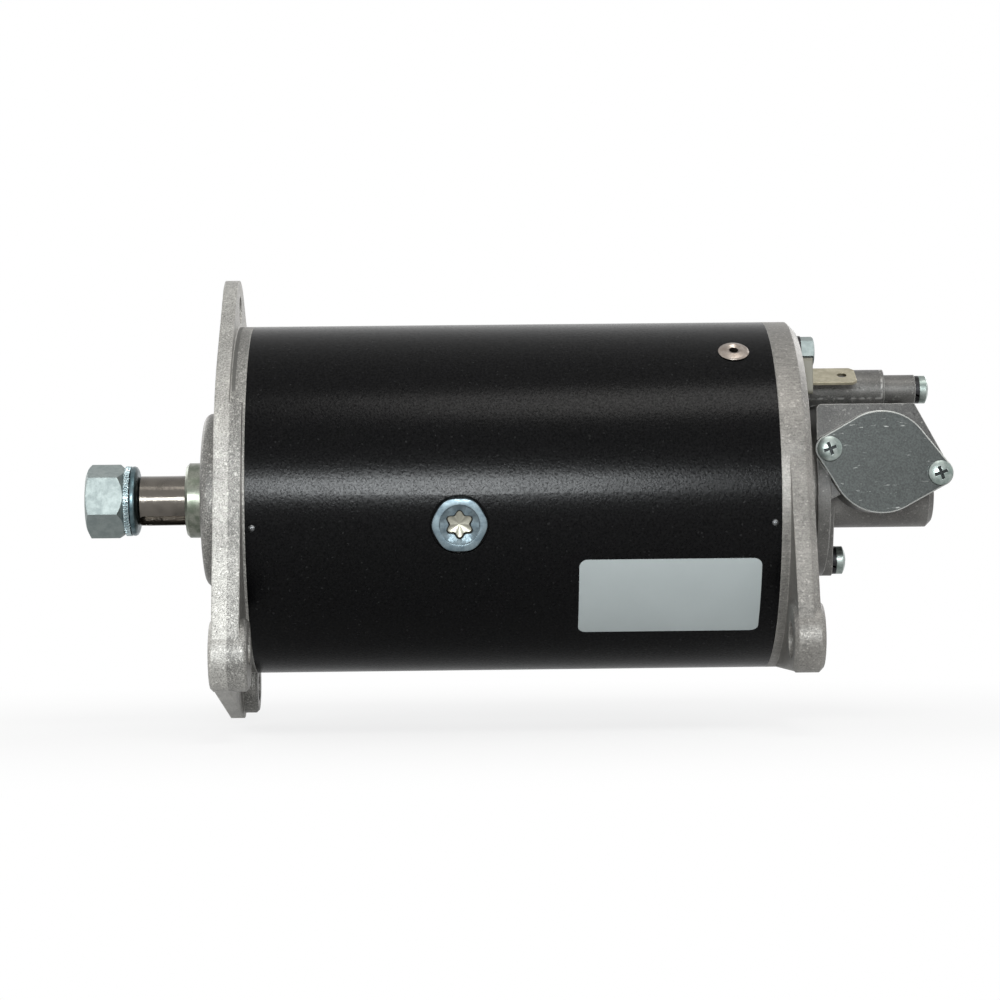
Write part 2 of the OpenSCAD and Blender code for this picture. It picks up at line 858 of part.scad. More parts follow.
module commutator_end_bracket() {
    color("#aaa59c") difference() {
        union() {
            along_x(x_yoke_end) disc_with_edge(yoke_r, rear_rim_w, rear_edge);
            // Arm to the hinge lug, clear of the yoke's end, its back edge broken like the rim's
            along_x(x_yoke_end + arm_gap) linear_extrude(rear_rim_w - arm_gap - rear_edge)
                belt_outline([0, 0], yoke_r - step_in, rear_lug_c, rear_lug_r - step_in);
            along_x(x_rear_face - rear_edge) hull() {
                edge_cone(yoke_r - step_in, rear_edge);
                translate(rear_lug_c) edge_cone(rear_lug_r - step_in, rear_edge);
            }
            along_x(x_rear_lug) translate(rear_lug_c) soft_disc(rear_lug_r, rear_lug_w, 1.2);
            along_x(x_bush) cylinder(r = rear_boss_r, h = x_rear_inner - x_bush + over);
            along_x(x_yoke_end - spigot_len) cylinder(r = spigot_r, h = spigot_len + over);
            along_x(x_rear_face - over) {
                cylinder(r = rear_hub_r, h = hub_h + over);
                translate([0, leg_z]) cylinder(r = leg_r + 0.4, h = hub_h + over);
                for (c = bolt_places) {
                    translate(c) cylinder(r = bolt_af / 2 + 1.6, h = pad_h + over);
                }
            }
        }
        // Hollow for the brush gear
        along_x(x_yoke_end - spigot_len - over) difference() {
            cylinder(r = spigot_r - spigot_wall, h = x_rear_inner - x_yoke_end + spigot_len + over);
            translate([0, 0, x_bush - x_yoke_end + spigot_len + over])
                cylinder(r = rear_boss_r, h = rear_rim_w + spigot_len);
        }
        // Bush seat and shaft way
        along_x(x_bush - over) cylinder(r = bush_r, h = bush_len + hub_h + over);
        for (c = bolt_places) {
            along_x(x_yoke_end - spigot_len - over) translate(c) cylinder(d = bolt_d, h = rear_rim_w + 10);
        }
        along_x(x_rear_lug - over) translate(hinge_c) cylinder(d = hinge_hole_d, h = rear_lug_w + 2 * over);
        // Terminal windows, screw and rivet holes
        for (side = [-1, 1]) {
            along_x(x_rear_inner - over) translate([side * terminal_y, terminal_z])
                linear_extrude(rear_wall + 2 * over) square(block_plug, center = true);
            for (p = holder_rivets_yz) {
                along_x(x_rear_inner - over) translate([side * p.x, p.y]) cylinder(r = rivet_r, h = rear_wall + 2 * over);
            }
        }
        for (z = [tube_z, leg_z]) {
            along_x(x_rear_inner + 1) translate([0, z]) cylinder(d = screw_d, h = rear_wall + hub_h);
        }
    }
}

module commutator_end_bush() {
    color("#a97b45") along_x(x_bush) ring(bush_r, shaft_r + fit, bush_len);
}

// Puts its children, drawn on the far side, on the near side or the far side
module on_side(side) {
    mirror([0, side < 0 ? 1 : 0, 0]) children();
}

// A box given by its lowest and highest corners
module span(low, high) {
    translate(low) cube(high - low);
}

module brush_holders() {
    color("#c2a25a") for (side = [-1, 1]) {
        on_side(side) difference() {
            union() {
                span([brush_x - holder_half_x, holder_y, -holder_half_z],
                     [brush_x + holder_half_x, holder_end, holder_half_z]);
                span([brush_x + holder_half_x - holder_wall, flange_low.x, -holder_half_z],
                     [x_packing, holder_end, holder_half_z]);
                span([x_flange, flange_low.x, flange_low.y], [x_packing, flange_high.x, flange_high.y]);
            }
            span([brush_x - brush_w / 2 - slide_fit, holder_y - over, -brush_t / 2 - slide_fit],
                 [brush_x + brush_w / 2 + slide_fit, holder_end + over, brush_t / 2 + slide_fit]);
            rivet_holes(x_flange - over, flange_t + 2 * over);
        }
    }
}

module rivet_holes(x, h) {
    for (p = holder_rivets_yz) {
        along_x(x) translate(p) cylinder(r = rivet_r, h = h);
    }
}

module holder_packings() {
    color("#8a5a33") for (side = [-1, 1]) {
        on_side(side) difference() {
            span([x_packing, flange_low.x, flange_low.y], [x_rear_inner, flange_high.x, flange_high.y]);
            rivet_holes(x_packing - over, packing_t + 2 * over);
        }
    }
}

module holder_rivets() {
    head_t = 0.9;
    color("#b9bdc0") for (side = [-1, 1]) {
        on_side(side) for (p = holder_rivets_yz) {
            along_x(x_flange) translate(p) {
                cylinder(r = rivet_r, h = x_rear_face - x_flange);
                translate([0, 0, -head_t]) cylinder(r1 = rivet_r + 0.3, r2 = rivet_r + 1.1, h = head_t);
                translate([0, 0, x_rear_face - x_flange])
                    cylinder(r1 = rivet_r + 1.1, r2 = rivet_r + 0.3, h = head_t);
            }
        }
    }
}

module spring_posts() {
    tip = brush_x - spring_w / 2 - 1.6;
    color("#b9bdc0") for (side = [-1, 1]) {
        on_side(side) along_x(tip) translate([post_y, post_z]) {
            cylinder(r = post_r + 0.8, h = 1);
            cylinder(r = post_r, h = x_flange - tip);
        }
    }
}

// A carbon brush, its inner end hollowed to the commutator
module brush(side) {
    color("#2d2c2b") on_side(side) difference() {
        span([brush_x - brush_w / 2, 0, -brush_t / 2], [brush_x + brush_w / 2, brush_y + brush_len, brush_t / 2]);
        along_x(brush_x - brush_w) cylinder(r = brush_y, h = 2 * brush_w);
    }
}

module near_brush() {
    brush(-1);
}

module far_brush() {
    brush(1);
}

// Points along the clock spring, which winds inwards from its arm
function spring_point(t, offset) =
    let (r = post_r + 0.2 + spring_strip / 2 + spring_pitch * spring_turns * t + offset)
    [post_y, post_z] + r * [cos(360 * spring_turns * (1 - t)), sin(360 * spring_turns * (1 - t))];

// A clock spring whose arm ends in a roll that presses on its brush
module brush_spring(side) {
    steps = 36;
    tip = [arm_y, -arm_past];
    arm_end = spring_point(1, spring_strip / 2);
    lean = bearing_of(tip, arm_end) - acos(arm_r / norm(arm_end - tip));
    roll = 360 - acos((arm_r - spring_strip) / arm_r);
    color("#6f7f92") on_side(side) along_x(brush_x - spring_w / 2) linear_extrude(spring_w) {
        polygon(concat(
            [for (i = [0:steps]) spring_point(i / steps, spring_strip / 2)],
            [for (i = [0:12]) on_circle(tip, arm_r, lean - roll * i / 12)],
            [for (i = [steps:-1:0]) spring_point(i / steps, -spring_strip / 2)]
        ));
    }
}

module near_brush_spring() {
    brush_spring(-1);
}

module far_brush_spring() {
    brush_spring(1);
}

// White mouldings that carry the blades through the end wall
module terminal_blocks() {
    color("#d8d6cc") for (side = [-1, 1]) {
        difference() {
            union() {
                along_x(x_rear_inner - block_lip) translate([side * terminal_y, terminal_z])
                    linear_extrude(rear_wall + block_lip + block_out) square(block_plug, center = true);
                along_x(x_rear_face) translate([side * terminal_y, terminal_z])
                    linear_extrude(block_out) rounded_oblong(block_collar, 1.2);
            }
            if (side < 0) {
                blade_bar(side, output_w, -rear_wall - block_lip - over, block_out + over);
            } else {
                blade_bar(side, field_w, -rear_wall - block_lip - over, block_out + over);
            }
        }
    }
}

// A tilted bar on a terminal's centre line, between two distances from the end wall's face
module blade_bar(side, w, from, to) {
    translate([x_rear_face, side * terminal_y, terminal_z]) rotate([-side * output_tilt, 0, 0])
        translate([from, -w / 2, -blade_t / 2]) cube([to - from, w, blade_t]);
}

// A blade terminal with a round hole and cut corners at its tip
module blade(side, w, length) {
    from = -rear_wall - block_lip - 2;
    tip = block_out + length;
    cut = w * 0.14;
    translate([x_rear_face, side * terminal_y, terminal_z]) rotate([-side * output_tilt, 0, 0])
        translate([0, 0, -blade_t / 2]) linear_extrude(blade_t) difference() {
            polygon([
                [from, -w / 2], [tip - cut, -w / 2], [tip, -w / 2 + cut],
                [tip, w / 2 - cut], [tip - cut, w / 2], [from, w / 2]
            ]);
            translate([tip - w * 0.42, 0]) circle(d = w * 0.3);
        }
}

module output_terminal() {
    color("#c8bd8e") blade(-1, output_w, blade_len);
}

module field_terminal() {
    color("#c8bd8e") blade(1, field_w, field_len);
}

module through_bolts() {
    x_end = x_plate + 2.5;
    color("#b9c2c8") for (c = bolt_places) {
        along_x(x_end) translate(c) cylinder(d = bolt_d, h = x_bolt_head - x_end);
        along_x(x_bolt_head) translate(c) rotate(c.y > 0 ? 18 : 40) hex_head(bolt_af, bolt_head_h);
    }
}

module through_bolt_washers() {
    color("#2b2b2b") for (c = bolt_places) {
        along_x(x_rear_face + pad_h) translate(c) split_washer(bolt_d / 2 + washer_land, bolt_d / 2, washer_t, 200);
    }
}

// Outline of the cover: a disc with a lobe for each screw, about the cross spindle
module cover_outline() {
    circle(r = chamber_r);
    for (lobe = [left_lobe, right_lobe]) {
        translate(lobe) circle(r = lobe_r);
        polygon(belt_corners([0, 0], chamber_r, lobe, lobe_r));
    }
}

// Outline of the flat body behind the cover, about the cross spindle, square to the bracket's hub
module body_outline() {
    left = x_hub - cross_x;
    top = body_top - cross_z;
    intersection() {
        union() {
            cover_outline();
            polygon([
                [left, top - body_corner], [left + body_corner, top], [body_shoulder, top],
                right_lobe + lobe_r * [cos(31), sin(31)], right_lobe, [0, -chamber_r * 0.9],
                web_tip, [left, web_low]
            ]);
            translate([left + body_corner, top - body_corner]) circle(r = body_corner);
        }
        translate([left + fit, -2 * chamber_r]) square(4 * chamber_r);
    }
}

module tacho_housing() {
    color("#56565a") difference() {
        union() {
            along_x(x_hub) cylinder(r = flange_r, h = flange_w);
            along_x(x_hub) linear_extrude(leg_w) belt_outline([0, 0], barrel_r, [0, leg_z], leg_r);
            along_x(x_rear_face) translate([0, tube_z]) cylinder(r = tube_foot_r, h = hub_h + over);
            along_x(x_hub) translate([0, tube_z]) {
                cylinder(r = tube_r, h = tube_step);
                cylinder(r = tube_small_r, h = tube_end);
            }
            along_x(x_hub) {
                cylinder(r = barrel_r, h = barrel_end - body_corner);
                translate([0, 0, barrel_end - body_corner])
                    cylinder(r1 = barrel_r, r2 = barrel_r - body_corner, h = body_corner);
            }
            facing_near(body_back) translate([cross_x, cross_z])
                linear_extrude(body_back - body_front) body_outline();
            facing_near(body_front) translate([cross_x, cross_z])
                linear_extrude(body_front - pad_front) cover_outline();
            spindle_axis(body_back - over) cylinder(r = outlet_r, h = outlet_end - body_back + over);
        }
        // Gear chamber, worm bore and spindle bush seat
        spindle_axis(pad_front - over) cylinder(r = cover_bore_r, h = chamber_floor - pad_front + over);
        along_x(x_hub - over) cylinder(r = worm_bore_r, h = barrel_end - 5.5 + over);
        spindle_axis(chamber_floor - over) cylinder(r = spindle_bush_r, h = outlet_end - chamber_floor + 2 * over);
        // Screw holes
        for (z = [tube_z, leg_z]) {
            along_x(x_rear_face - over) translate([0, z]) cylinder(d = screw_d, h = hub_h + tube_end + 2 * over);
        }
        for (lobe = [left_lobe, right_lobe]) {
            facing_near(pad_front + cover_screw_len) translate([cross_x, cross_z] + lobe)
                cylinder(d = cover_screw_d, h = cover_screw_len + over);
        }
    }
}

// Round work along the cross spindle's axis
module spindle_axis(y) {
    translate([cross_x, y, cross_z]) rotate([-90, 0, 0]) children();
}

module tacho_cover() {
    color("#8f9a96") cover_sheet(pad_front - gasket_t, cover_t);
}

module cover_gasket() {
    color("#3b352d") cover_sheet(pad_front, gasket_t);
}

module cover_sheet(y, t) {
    facing_near(y) translate([cross_x, cross_z]) linear_extrude(t) difference() {
        cover_outline();
        for (lobe = [left_lobe, right_lobe]) {
            translate(lobe) circle(d = cover_screw_d);
        }
    }
}

module cover_screws() {
    seat = pad_front - gasket_t - cover_t;
    color("#c4cbc6") for (lobe = [left_lobe, right_lobe]) {
        facing_near(seat) translate([cross_x, cross_z] + lobe) pan_head(cover_head_d, 2.4);
        facing_near(pad_front + cover_screw_len) translate([cross_x, cross_z] + lobe)
            cylinder(d = cover_screw_d, h = cover_screw_len + gasket_t + cover_t);
    }
}

module long_housing_screw() {
    housing_screw(tube_z, x_hub + tube_end);
}

module short_housing_screw() {
    housing_screw(leg_z, x_hub + leg_w);
}

module housing_screw(z, x_seat) {
    color("#b4bfc0") {
        along_x(x_rear_inner + 1) translate([0, z]) cylinder(d = screw_d, h = x_seat + washer_t - x_rear_inner - 1);
        along_x(x_seat + washer_t) translate([0, z]) pan_head(screw_head_d, screw_head_h);
    }
}

module housing_screw_washers() {
    color("#2b2b2b") {
        along_x(x_hub + tube_end) translate([0, tube_z]) split_washer(screw_head_d / 2, screw_d / 2, washer_t, 200);
        along_x(x_hub + leg_w) translate([0, leg_z]) split_washer(screw_head_d / 2, screw_d / 2, washer_t, 200);
    }
}

// Section of the worm: one straight-flanked thread for each start
function thread_half_angle(r) =
    (tooth_pitch / 4 - backlash / 4 - (r - worm_pitch_r) * tan(pressure)) * 360 / worm_lead;

module worm_section() {
    tip_a = thread_half_angle(worm_tip);
    root_a = thread_half_angle(worm_root);
    polygon([
        for (s = [0:worm_starts - 1])
            for (p = [[worm_root, -root_a], [worm_tip, -tip_a], [worm_tip, 0], [worm_tip, tip_a], [worm_root, root_a],
                      [worm_root, 180 / worm_starts]])
                p.x * [cos(s * 360 / worm_starts + p.y), sin(s * 360 / worm_starts + p.y)]
    ]);
}

module tacho_worm() {
    turn = 360 * worm_len / worm_lead;
    color("#a3a5a6") {
        along_x(x_hub - 0.2 - stem_in) cylinder(r = stem_r, h = cross_x + worm_len / 2 + 1.5 - x_hub + 0.2 + stem_in);
        translate([cross_x - worm_len / 2, 0, 0]) rotate([0, 90, 0]) rotate(180 - turn / 2)
            linear_extrude(worm_len, twist = -turn, slices = 36, $fn = 6) worm_section();
    }
}

// Section of the driven gear, its teeth as wide as the worm's gaps less the backlash
function tooth_half_angle(r) =
    (tooth_pitch / 4 - backlash / 4 - (r - gear_pitch_r) * tan(pressure + 4)) * 180 / PI / r;

module gear_section() {
    tip_a = tooth_half_angle(gear_tip);
    mid_a = tooth_half_angle(gear_pitch_r);
    root_a = mid_a + 1.5;
    polygon([
        for (i = [0:gear_teeth - 1])
            for (p = [[gear_root, -root_a], [gear_pitch_r, -mid_a], [gear_tip, -tip_a],
                      [gear_tip, tip_a], [gear_pitch_r, mid_a], [gear_root, root_a]])
                p.x * [cos((i + 0.5) * 360 / gear_teeth + p.y), sin((i + 0.5) * 360 / gear_teeth + p.y)]
    ]);
}

module tacho_gear() {
    helix = atan(worm_lead / (2 * PI * worm_pitch_r));
    turn = gear_w * tan(helix) / gear_pitch_r * 180 / PI;
    color("#e8e2cf") difference() {
        union() {
            spindle_axis(-gear_w / 2) rotate(-turn / 2)
                linear_extrude(gear_w, twist = -turn, slices = 6, $fn = 6) gear_section();
            spindle_axis(gear_w / 2 - 0.5) cylinder(r = gear_root - 0.3, h = chamber_floor - face_gap - gear_w / 2 + 0.5);
        }
        spindle_axis(-gear_w / 2 - over) cylinder(r = spindle_r, h = gear_w + chamber_floor + 2 * over);
    }
}

module tacho_spindle() {
    color("#a9abad") difference() {
        union() {
            spindle_axis(-gear_w / 2 - 1.5) cylinder(r = spindle_r + 1.2, h = 1.5);
            spindle_axis(-gear_w / 2) cylinder(r = spindle_r, h = spindle_end + gear_w / 2);
        }
        spindle_axis(spindle_end - 9) translate([-1.35, -1.35, 0]) cube([2.7, 2.7, 9 + over]);
    }
}

module spindle_bush() {
    color("#a97b45") spindle_axis(chamber_floor)
        ring(spindle_bush_r, spindle_r + fit, outlet_end - bush_recess - chamber_floor);
}

module cable_union() {
    color("#9b9d9b") spindle_axis(outlet_end) difference() {
        union() {
            cylinder(r = outlet_r, h = 2);
            soft_disc(union_r, union_len, 0.8);
        }
        translate([0, 0, -over]) cylinder(r = 5.2, h = union_len + 2 * over);
    }
}

yoke();
pole_shoes();
pole_screws();
field_coils();
field_rivet();
locating_dowels();
drive_end_bracket();
commutator_end_bracket();
armature_shaft();
armature_core();
armature_windings();
commutator_hub();
commutator_bars();
thrust_washer();
bearing_outer_race();
bearing_inner_race();
bearing_balls();
bearing_cage();
bearing_retainer();
retainer_screws();
felt_ring();
felt_pressure_ring();
pulley_spacer();
shaft_lock_washer();
shaft_nut();
commutator_end_bush();
brush_holders();
holder_packings();
holder_rivets();
spring_posts();
near_brush();
far_brush();
near_brush_spring();
far_brush_spring();
terminal_blocks();
output_terminal();
field_terminal();
through_bolts();
through_bolt_washers();
tacho_housing();
tacho_cover();
cover_gasket();
cover_screws();
long_housing_screw();
short_housing_screw();
housing_screw_washers();
tacho_worm();
tacho_gear();
tacho_spindle();
spindle_bush();
cable_union();
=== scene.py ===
"""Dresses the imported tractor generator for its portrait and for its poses."""

import logging
import math
from collections.abc import Mapping, Sequence
from dataclasses import dataclass, replace
from enum import Enum
from typing import ClassVar

import bmesh
import bpy
from mathutils import Matrix, Vector


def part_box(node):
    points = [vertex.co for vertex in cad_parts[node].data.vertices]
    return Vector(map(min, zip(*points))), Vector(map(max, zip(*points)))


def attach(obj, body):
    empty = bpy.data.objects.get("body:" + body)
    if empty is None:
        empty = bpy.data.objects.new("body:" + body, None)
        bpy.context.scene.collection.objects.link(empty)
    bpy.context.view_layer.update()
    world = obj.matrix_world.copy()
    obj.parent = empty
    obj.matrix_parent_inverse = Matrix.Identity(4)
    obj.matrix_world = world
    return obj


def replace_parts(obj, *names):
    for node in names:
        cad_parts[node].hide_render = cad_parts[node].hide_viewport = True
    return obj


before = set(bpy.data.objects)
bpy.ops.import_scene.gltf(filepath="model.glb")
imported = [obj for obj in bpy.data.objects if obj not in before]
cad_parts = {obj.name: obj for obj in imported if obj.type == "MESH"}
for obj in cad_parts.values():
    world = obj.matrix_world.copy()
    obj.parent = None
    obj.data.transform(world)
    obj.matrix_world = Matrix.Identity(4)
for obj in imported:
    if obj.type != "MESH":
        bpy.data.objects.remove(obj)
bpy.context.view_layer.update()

MM = 0.001
LOG = logging.getLogger("generator")

MERGE = 1e-7
SMOOTH_ANGLE = 34.0
NEAR_AXIS = 0.01
FULL_TURN = 2.0 * math.pi

Colour = tuple[float, float, float]
Point = tuple[float, float, float]

WHITE = (1.0, 1.0, 1.0)
TO_CAMERA = (0.0, -1.0, 0.0)
TO_RIGHT = (1.0, 0.0, 0.0)


class Axis(Enum):
    """The row axis that turned, wound or stacked work is drawn about."""

    X = 0
    Y = 1
    Z = 2


class Grain(Enum):
    """How a fine texture is drawn out over a surface, as a factor on each axis."""

    EVEN = (1.0, 1.0, 1.0)
    ALONG_X = (0.2, 1.0, 1.0)
    ALONG_Z = (1.0, 1.0, 0.12)


def lowest(node: str, axis: Axis) -> float:
    """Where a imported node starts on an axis, in millimetres."""
    return round(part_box(node)[0][axis.value] / MM, 2)


def highest(node: str, axis: Axis) -> float:
    """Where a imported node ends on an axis, in millimetres."""
    return round(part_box(node)[1][axis.value] / MM, 2)


def middle(node: str, axis: Axis) -> float:
    """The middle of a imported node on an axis, in millimetres."""
    return (lowest(node, axis) + highest(node, axis)) / 2.0


class Signal:
    """A number, colour or vector that changes over a surface; arithmetic on it adds Math nodes."""

    def __init__(self, graph: "Graph", socket: bpy.types.NodeSocket) -> None:
        """Wraps an output socket of a node tree."""
        self.graph = graph
        self.socket = socket

    def _maths(self, operation: str, first: "Signal | float", second: "Signal | float") -> "Signal":
        """The result of one Math node."""
        return self.graph.node("ShaderNodeMath", {"operation": operation}, {0: first, 1: second})

    def __add__(self, other: "Signal | float") -> "Signal":
        """The sum."""
        return self._maths("ADD", self, other)

    def __radd__(self, other: float) -> "Signal":
        """The sum, with the number first."""
        return self._maths("ADD", other, self)

    def __sub__(self, other: "Signal | float") -> "Signal":
        """The difference."""
        return self._maths("SUBTRACT", self, other)

    def __rsub__(self, other: float) -> "Signal":
        """The difference, with the number first."""
        return self._maths("SUBTRACT", other, self)

    def __mul__(self, other: "Signal | float") -> "Signal":
        """The product."""
        return self._maths("MULTIPLY", self, other)

    def __rmul__(self, other: float) -> "Signal":
        """The product, with the number first."""
        return self._maths("MULTIPLY", other, self)

    def sine(self) -> "Signal":
        """The sine of the number, in radians."""
        return self._maths("SINE", self, 0.0)

    def most(self, other: "Signal | float") -> "Signal":
        """The larger of two numbers."""
        return self._maths("MAXIMUM", self, other)

    def between(self, low: float, high: float) -> "Signal":
        """A soft step.

        Args:
            low: Where the step starts from 0.
            high: Where it reaches 1; it may be below low for a falling step.

        Returns:
            A number from 0 to 1.
        """
        return self.graph.node(
            "ShaderNodeMapRange",
            {"interpolation_type": "SMOOTHSTEP"},
            {0: self, 1: low, 2: high, 3: 0.0, 4: 1.0},
        )


class Graph:
    """The node tree of a material or of the world, while it is built."""

    MIX_LOW: ClassVar[int] = 6
    MIX_HIGH: ClassVar[int] = 7
    MIX_RESULT: ClassVar[int] = 2

    def __init__(self, owner: bpy.types.Material | bpy.types.World) -> None:
        """Empties the owner's tree.

        Args:
            owner: The material or world that the tree belongs to.
        """
        owner.use_nodes = True
        self.tree = owner.node_tree
        self.tree.nodes.clear()
        self._place: Signal | None = None

    def node(
        self,
        kind: str,
        settings: Mapping[str, object] | None = None,
        sockets: Mapping[int | str, object] | None = None,
        output: int | str = 0,
    ) -> Signal:
        """Adds any node.

        Args:
            kind: The node's type.
            settings: Its settings, set first.
            sockets: Values or links of its inputs, by number or name.
            output: The output to return.

        Returns:
            The chosen output, or nothing to link from where the node is the tree's end.
        """
        made = self.tree.nodes.new(kind)
        for name, value in (settings or {}).items():
            setattr(made, name, value)
        for key, value in (sockets or {}).items():
            if isinstance(value, Signal):
                self.tree.links.new(value.socket, made.inputs[key])
            elif value is not None:
                made.inputs[key].default_value = value
        return Signal(self, made.outputs[output] if made.outputs else None)

    def vector(
        self, operation: str, first: Signal, second: Signal | Point | None = None, output: str = "Vector"
    ) -> Signal:
        """The result of one Vector Math node, which is a number where the output is "Value"."""
        return self.node("ShaderNodeVectorMath", {"operation": operation}, {0: first, 1: second}, output)

    def place(self) -> Signal:
        """The point on the surface in the row frame, in millimetres."""
        if self._place is None:
            metres = self.node("ShaderNodeTexCoord", output="Object")
            scaled = {0: metres, "Scale": 1.0 / MM}
            self._place = self.node("ShaderNodeVectorMath", {"operation": "SCALE"}, scaled)
        return self._place

    def coordinate(self, axis: Axis) -> Signal:
        """The surface point's place on one axis, in millimetres."""
        return self.node("ShaderNodeSeparateXYZ", None, {0: self.place()}, axis.value)

    def distance(self, centre: Point, stretch: Point = (1.0, 1.0, 1.0)) -> Signal:
        """Distance from a centre in millimetres, each axis first multiplied by its stretch."""
        stretched = self.vector("MULTIPLY", self.vector("SUBTRACT", self.place(), centre), stretch)
        return self.vector("LENGTH", stretched, output="Value")

    def along(self, start: Point, direction: Point) -> Signal:
        """How far the surface point lies from a start along a direction of length 1, in millimetres."""
        return self.vector("DOT_PRODUCT", self.vector("SUBTRACT", self.place(), start), direction, "Value")

    def ray(self, name: str) -> Signal:
        """1 for the rays of one kind, as Light Path names it, and 0 for the others."""
        return self.node("ShaderNodeLightPath", output=name)

    def noise(
        self,
        size: float,
        detail: float = 2.0,
        grain: Grain = Grain.EVEN,
        seed: float = 0.0,
        rough: float = 0.5,
    ) -> Signal:
        """Cloudy noise from 0 to 1.

        Args:
            size: Width of one cloud in millimetres.
            detail: Number of finer layers.
            grain: How the clouds are drawn out.
            seed: Moves the pattern, so that two finishes differ.
            rough: Strength of the finer layers.

        Returns:
            The noise.
        """
        moved = self.vector("ADD", self.place(), (seed, seed * 0.7, seed * 1.3))
        drawn = self.vector("MULTIPLY", moved, grain.value)
        return self.node(
            "ShaderNodeTexNoise",
            {"noise_dimensions": "3D"},
            {"Vector": drawn, "Scale": 1.0 / size, "Detail": detail, "Roughness": rough},
        )

    def specks(self, size: float, seed: float = 0.0) -> Signal:
        """Random tone of small cells, from 0 to 1.

        Args:
            size: Width of a cell in millimetres.
            seed: Moves the pattern.

        Returns:
            One level in each cell.
        """
        moved = self.vector("ADD", self.place(), (seed, seed, seed))
        scaled = {"Vector": moved, "Scale": 1.0 / size}
        cells = self.node("ShaderNodeTexVoronoi", {"feature": "F1"}, scaled, "Color")
        return self.node("ShaderNodeSeparateColor", None, {0: cells}, 0)

    def mixed(self, factor: Signal | float, low: Signal | Colour, high: Signal | Colour) -> Signal:
        """Mixes two colours.

        Args:
            factor: 0 for low, 1 for high.
            low: The first colour.
            high: The second colour.

        Returns:
            The mixed colour.
        """
        ends = [(*c, 1.0) if isinstance(c, tuple) else c for c in (low, high)]
        settings = {"data_type": "RGBA", "clamp_factor": True}
        sockets = {0: factor, self.MIX_LOW: ends[0], self.MIX_HIGH: ends[1]}
        return self.node("ShaderNodeMix", settings, sockets, self.MIX_RESULT)

    def shaded(self, factor: Signal, tone: Colour, dark: float, light: float) -> Signal:
        """A mix from a darker to a lighter shade of one tone, each given as a share of the tone."""
        low, high = (tuple(min(1.0, c * share) for c in tone) for share in (dark, light))
        return self.mixed(factor, low, high)

    def background_rays(self) -> Signal:
        """1 for the rays that should meet white: from the camera, off gloss or through glass."""
        return self.ray("Is Camera Ray").most(self.ray("Is Glossy Ray")).most(self.ray("Is Transmission Ray"))

    def rounded(self, radius: float) -> Signal:
        """The surface normal with its edges rounded over by a radius in millimetres."""
        return self.node("ShaderNodeBevel", {"samples": 6}, {"Radius": radius * MM})

    def edges(self, normal: Signal, strength: float = 6.0) -> Signal:
        """A mask of the edges that a rounded normal turns over.

        Args:
            normal: The rounded normal.
            strength: How strongly the edges show.

        Returns:
            0 on flat faces, up to 1 on edges.
        """
        flat = self.node("ShaderNodeNewGeometry", output="Normal")
        agree = self.vector("DOT_PRODUCT", normal, flat, "Value")
        return ((1.0 - agree) * strength).between(0.0, 1.0)

    def bump(self, height: Signal, depth: float, normal: Signal | None = None) -> Signal:
        """A normal that follows a height from 0 to 1, where 1 stands for the depth in millimetres."""
        return self.node("ShaderNodeBump", None, {"Height": height, "Distance": depth * MM, "Normal": normal})

    def surface(self, **sockets: object) -> None:
        """Ends the tree with one Principled shader.

        Args:
            **sockets: Its inputs, with underscores for spaces in their names.
        """
        named = {name.replace("_", " "): value for name, value in sockets.items()}
        shader = self.node("ShaderNodeBsdfPrincipled", None, named)
        self.node("ShaderNodeOutputMaterial", None, {"Surface": shader})


@dataclass(frozen=True)
class Finish:
    """The look of one material, made once and shared by the pieces that have it."""

    name: str

    def build(self) -> bpy.types.Material:
        """The finish as a material, made on first use."""
        title = f"{self.name}_finish"
        material = bpy.data.materials.get(title)
        if material is None:
            material = bpy.data.materials.new(title)
            self.wire(Graph(material))
        return material

    def wire(self, graph: Graph) -> None:
        """Adds the finish's nodes to an empty tree."""
        raise NotImplementedError


@dataclass(frozen=True)
class YokeEnamel(Finish):
    """Black stoving enamel with fine orange peel and a little dust."""

    tone: Colour = (0.0018, 0.0018, 0.002)
    worn: Colour = (0.05, 0.05, 0.05)
    gloss: float = 0.2
    peel: float = 0.7
    peel_fine: float = 0.34
    peel_depth: float = 0.07
    speckle: float = 0.6
    dust_size: float = 0.45
    dust_from: float = 0.988
    edge_radius: float = 0.35
    reflectance: float = 0.038
    coat: float = 0.18
    coat_roughness: float = 0.22

    def wire(self, graph: Graph) -> None:
        """Adds the peel, the speckle in the thin top coat, a little dust and the slightly worn end edges."""
        peel = graph.noise(size=self.peel, detail=2.0, seed=3.0)
        fine = graph.noise(size=self.peel_fine, detail=1.0, seed=9.0)
        speckle = graph.noise(size=self.speckle, detail=2.0, seed=14.0, rough=0.7).between(0.2, 0.8)
        cloud = graph.noise(size=26.0, detail=3.0, seed=21.0)
        normal = graph.rounded(radius=self.edge_radius)
        dust = graph.specks(size=self.dust_size, seed=5.0).between(self.dust_from, 1.0) * cloud
        colour = graph.mixed(dust * 0.5 + graph.edges(normal, strength=3.0) * 0.2, self.tone, self.worn)
        graph.surface(
            Base_Color=colour,
            Roughness=cloud * 0.1 + peel * 0.08 + (self.gloss - 0.09),
            Normal=graph.bump(peel * 0.85 + fine * 0.15, depth=self.peel_depth, normal=normal),
            Specular_IOR_Level=self.reflectance,
            Coat_Weight=speckle * self.coat,
            Coat_Roughness=self.coat_roughness,
        )


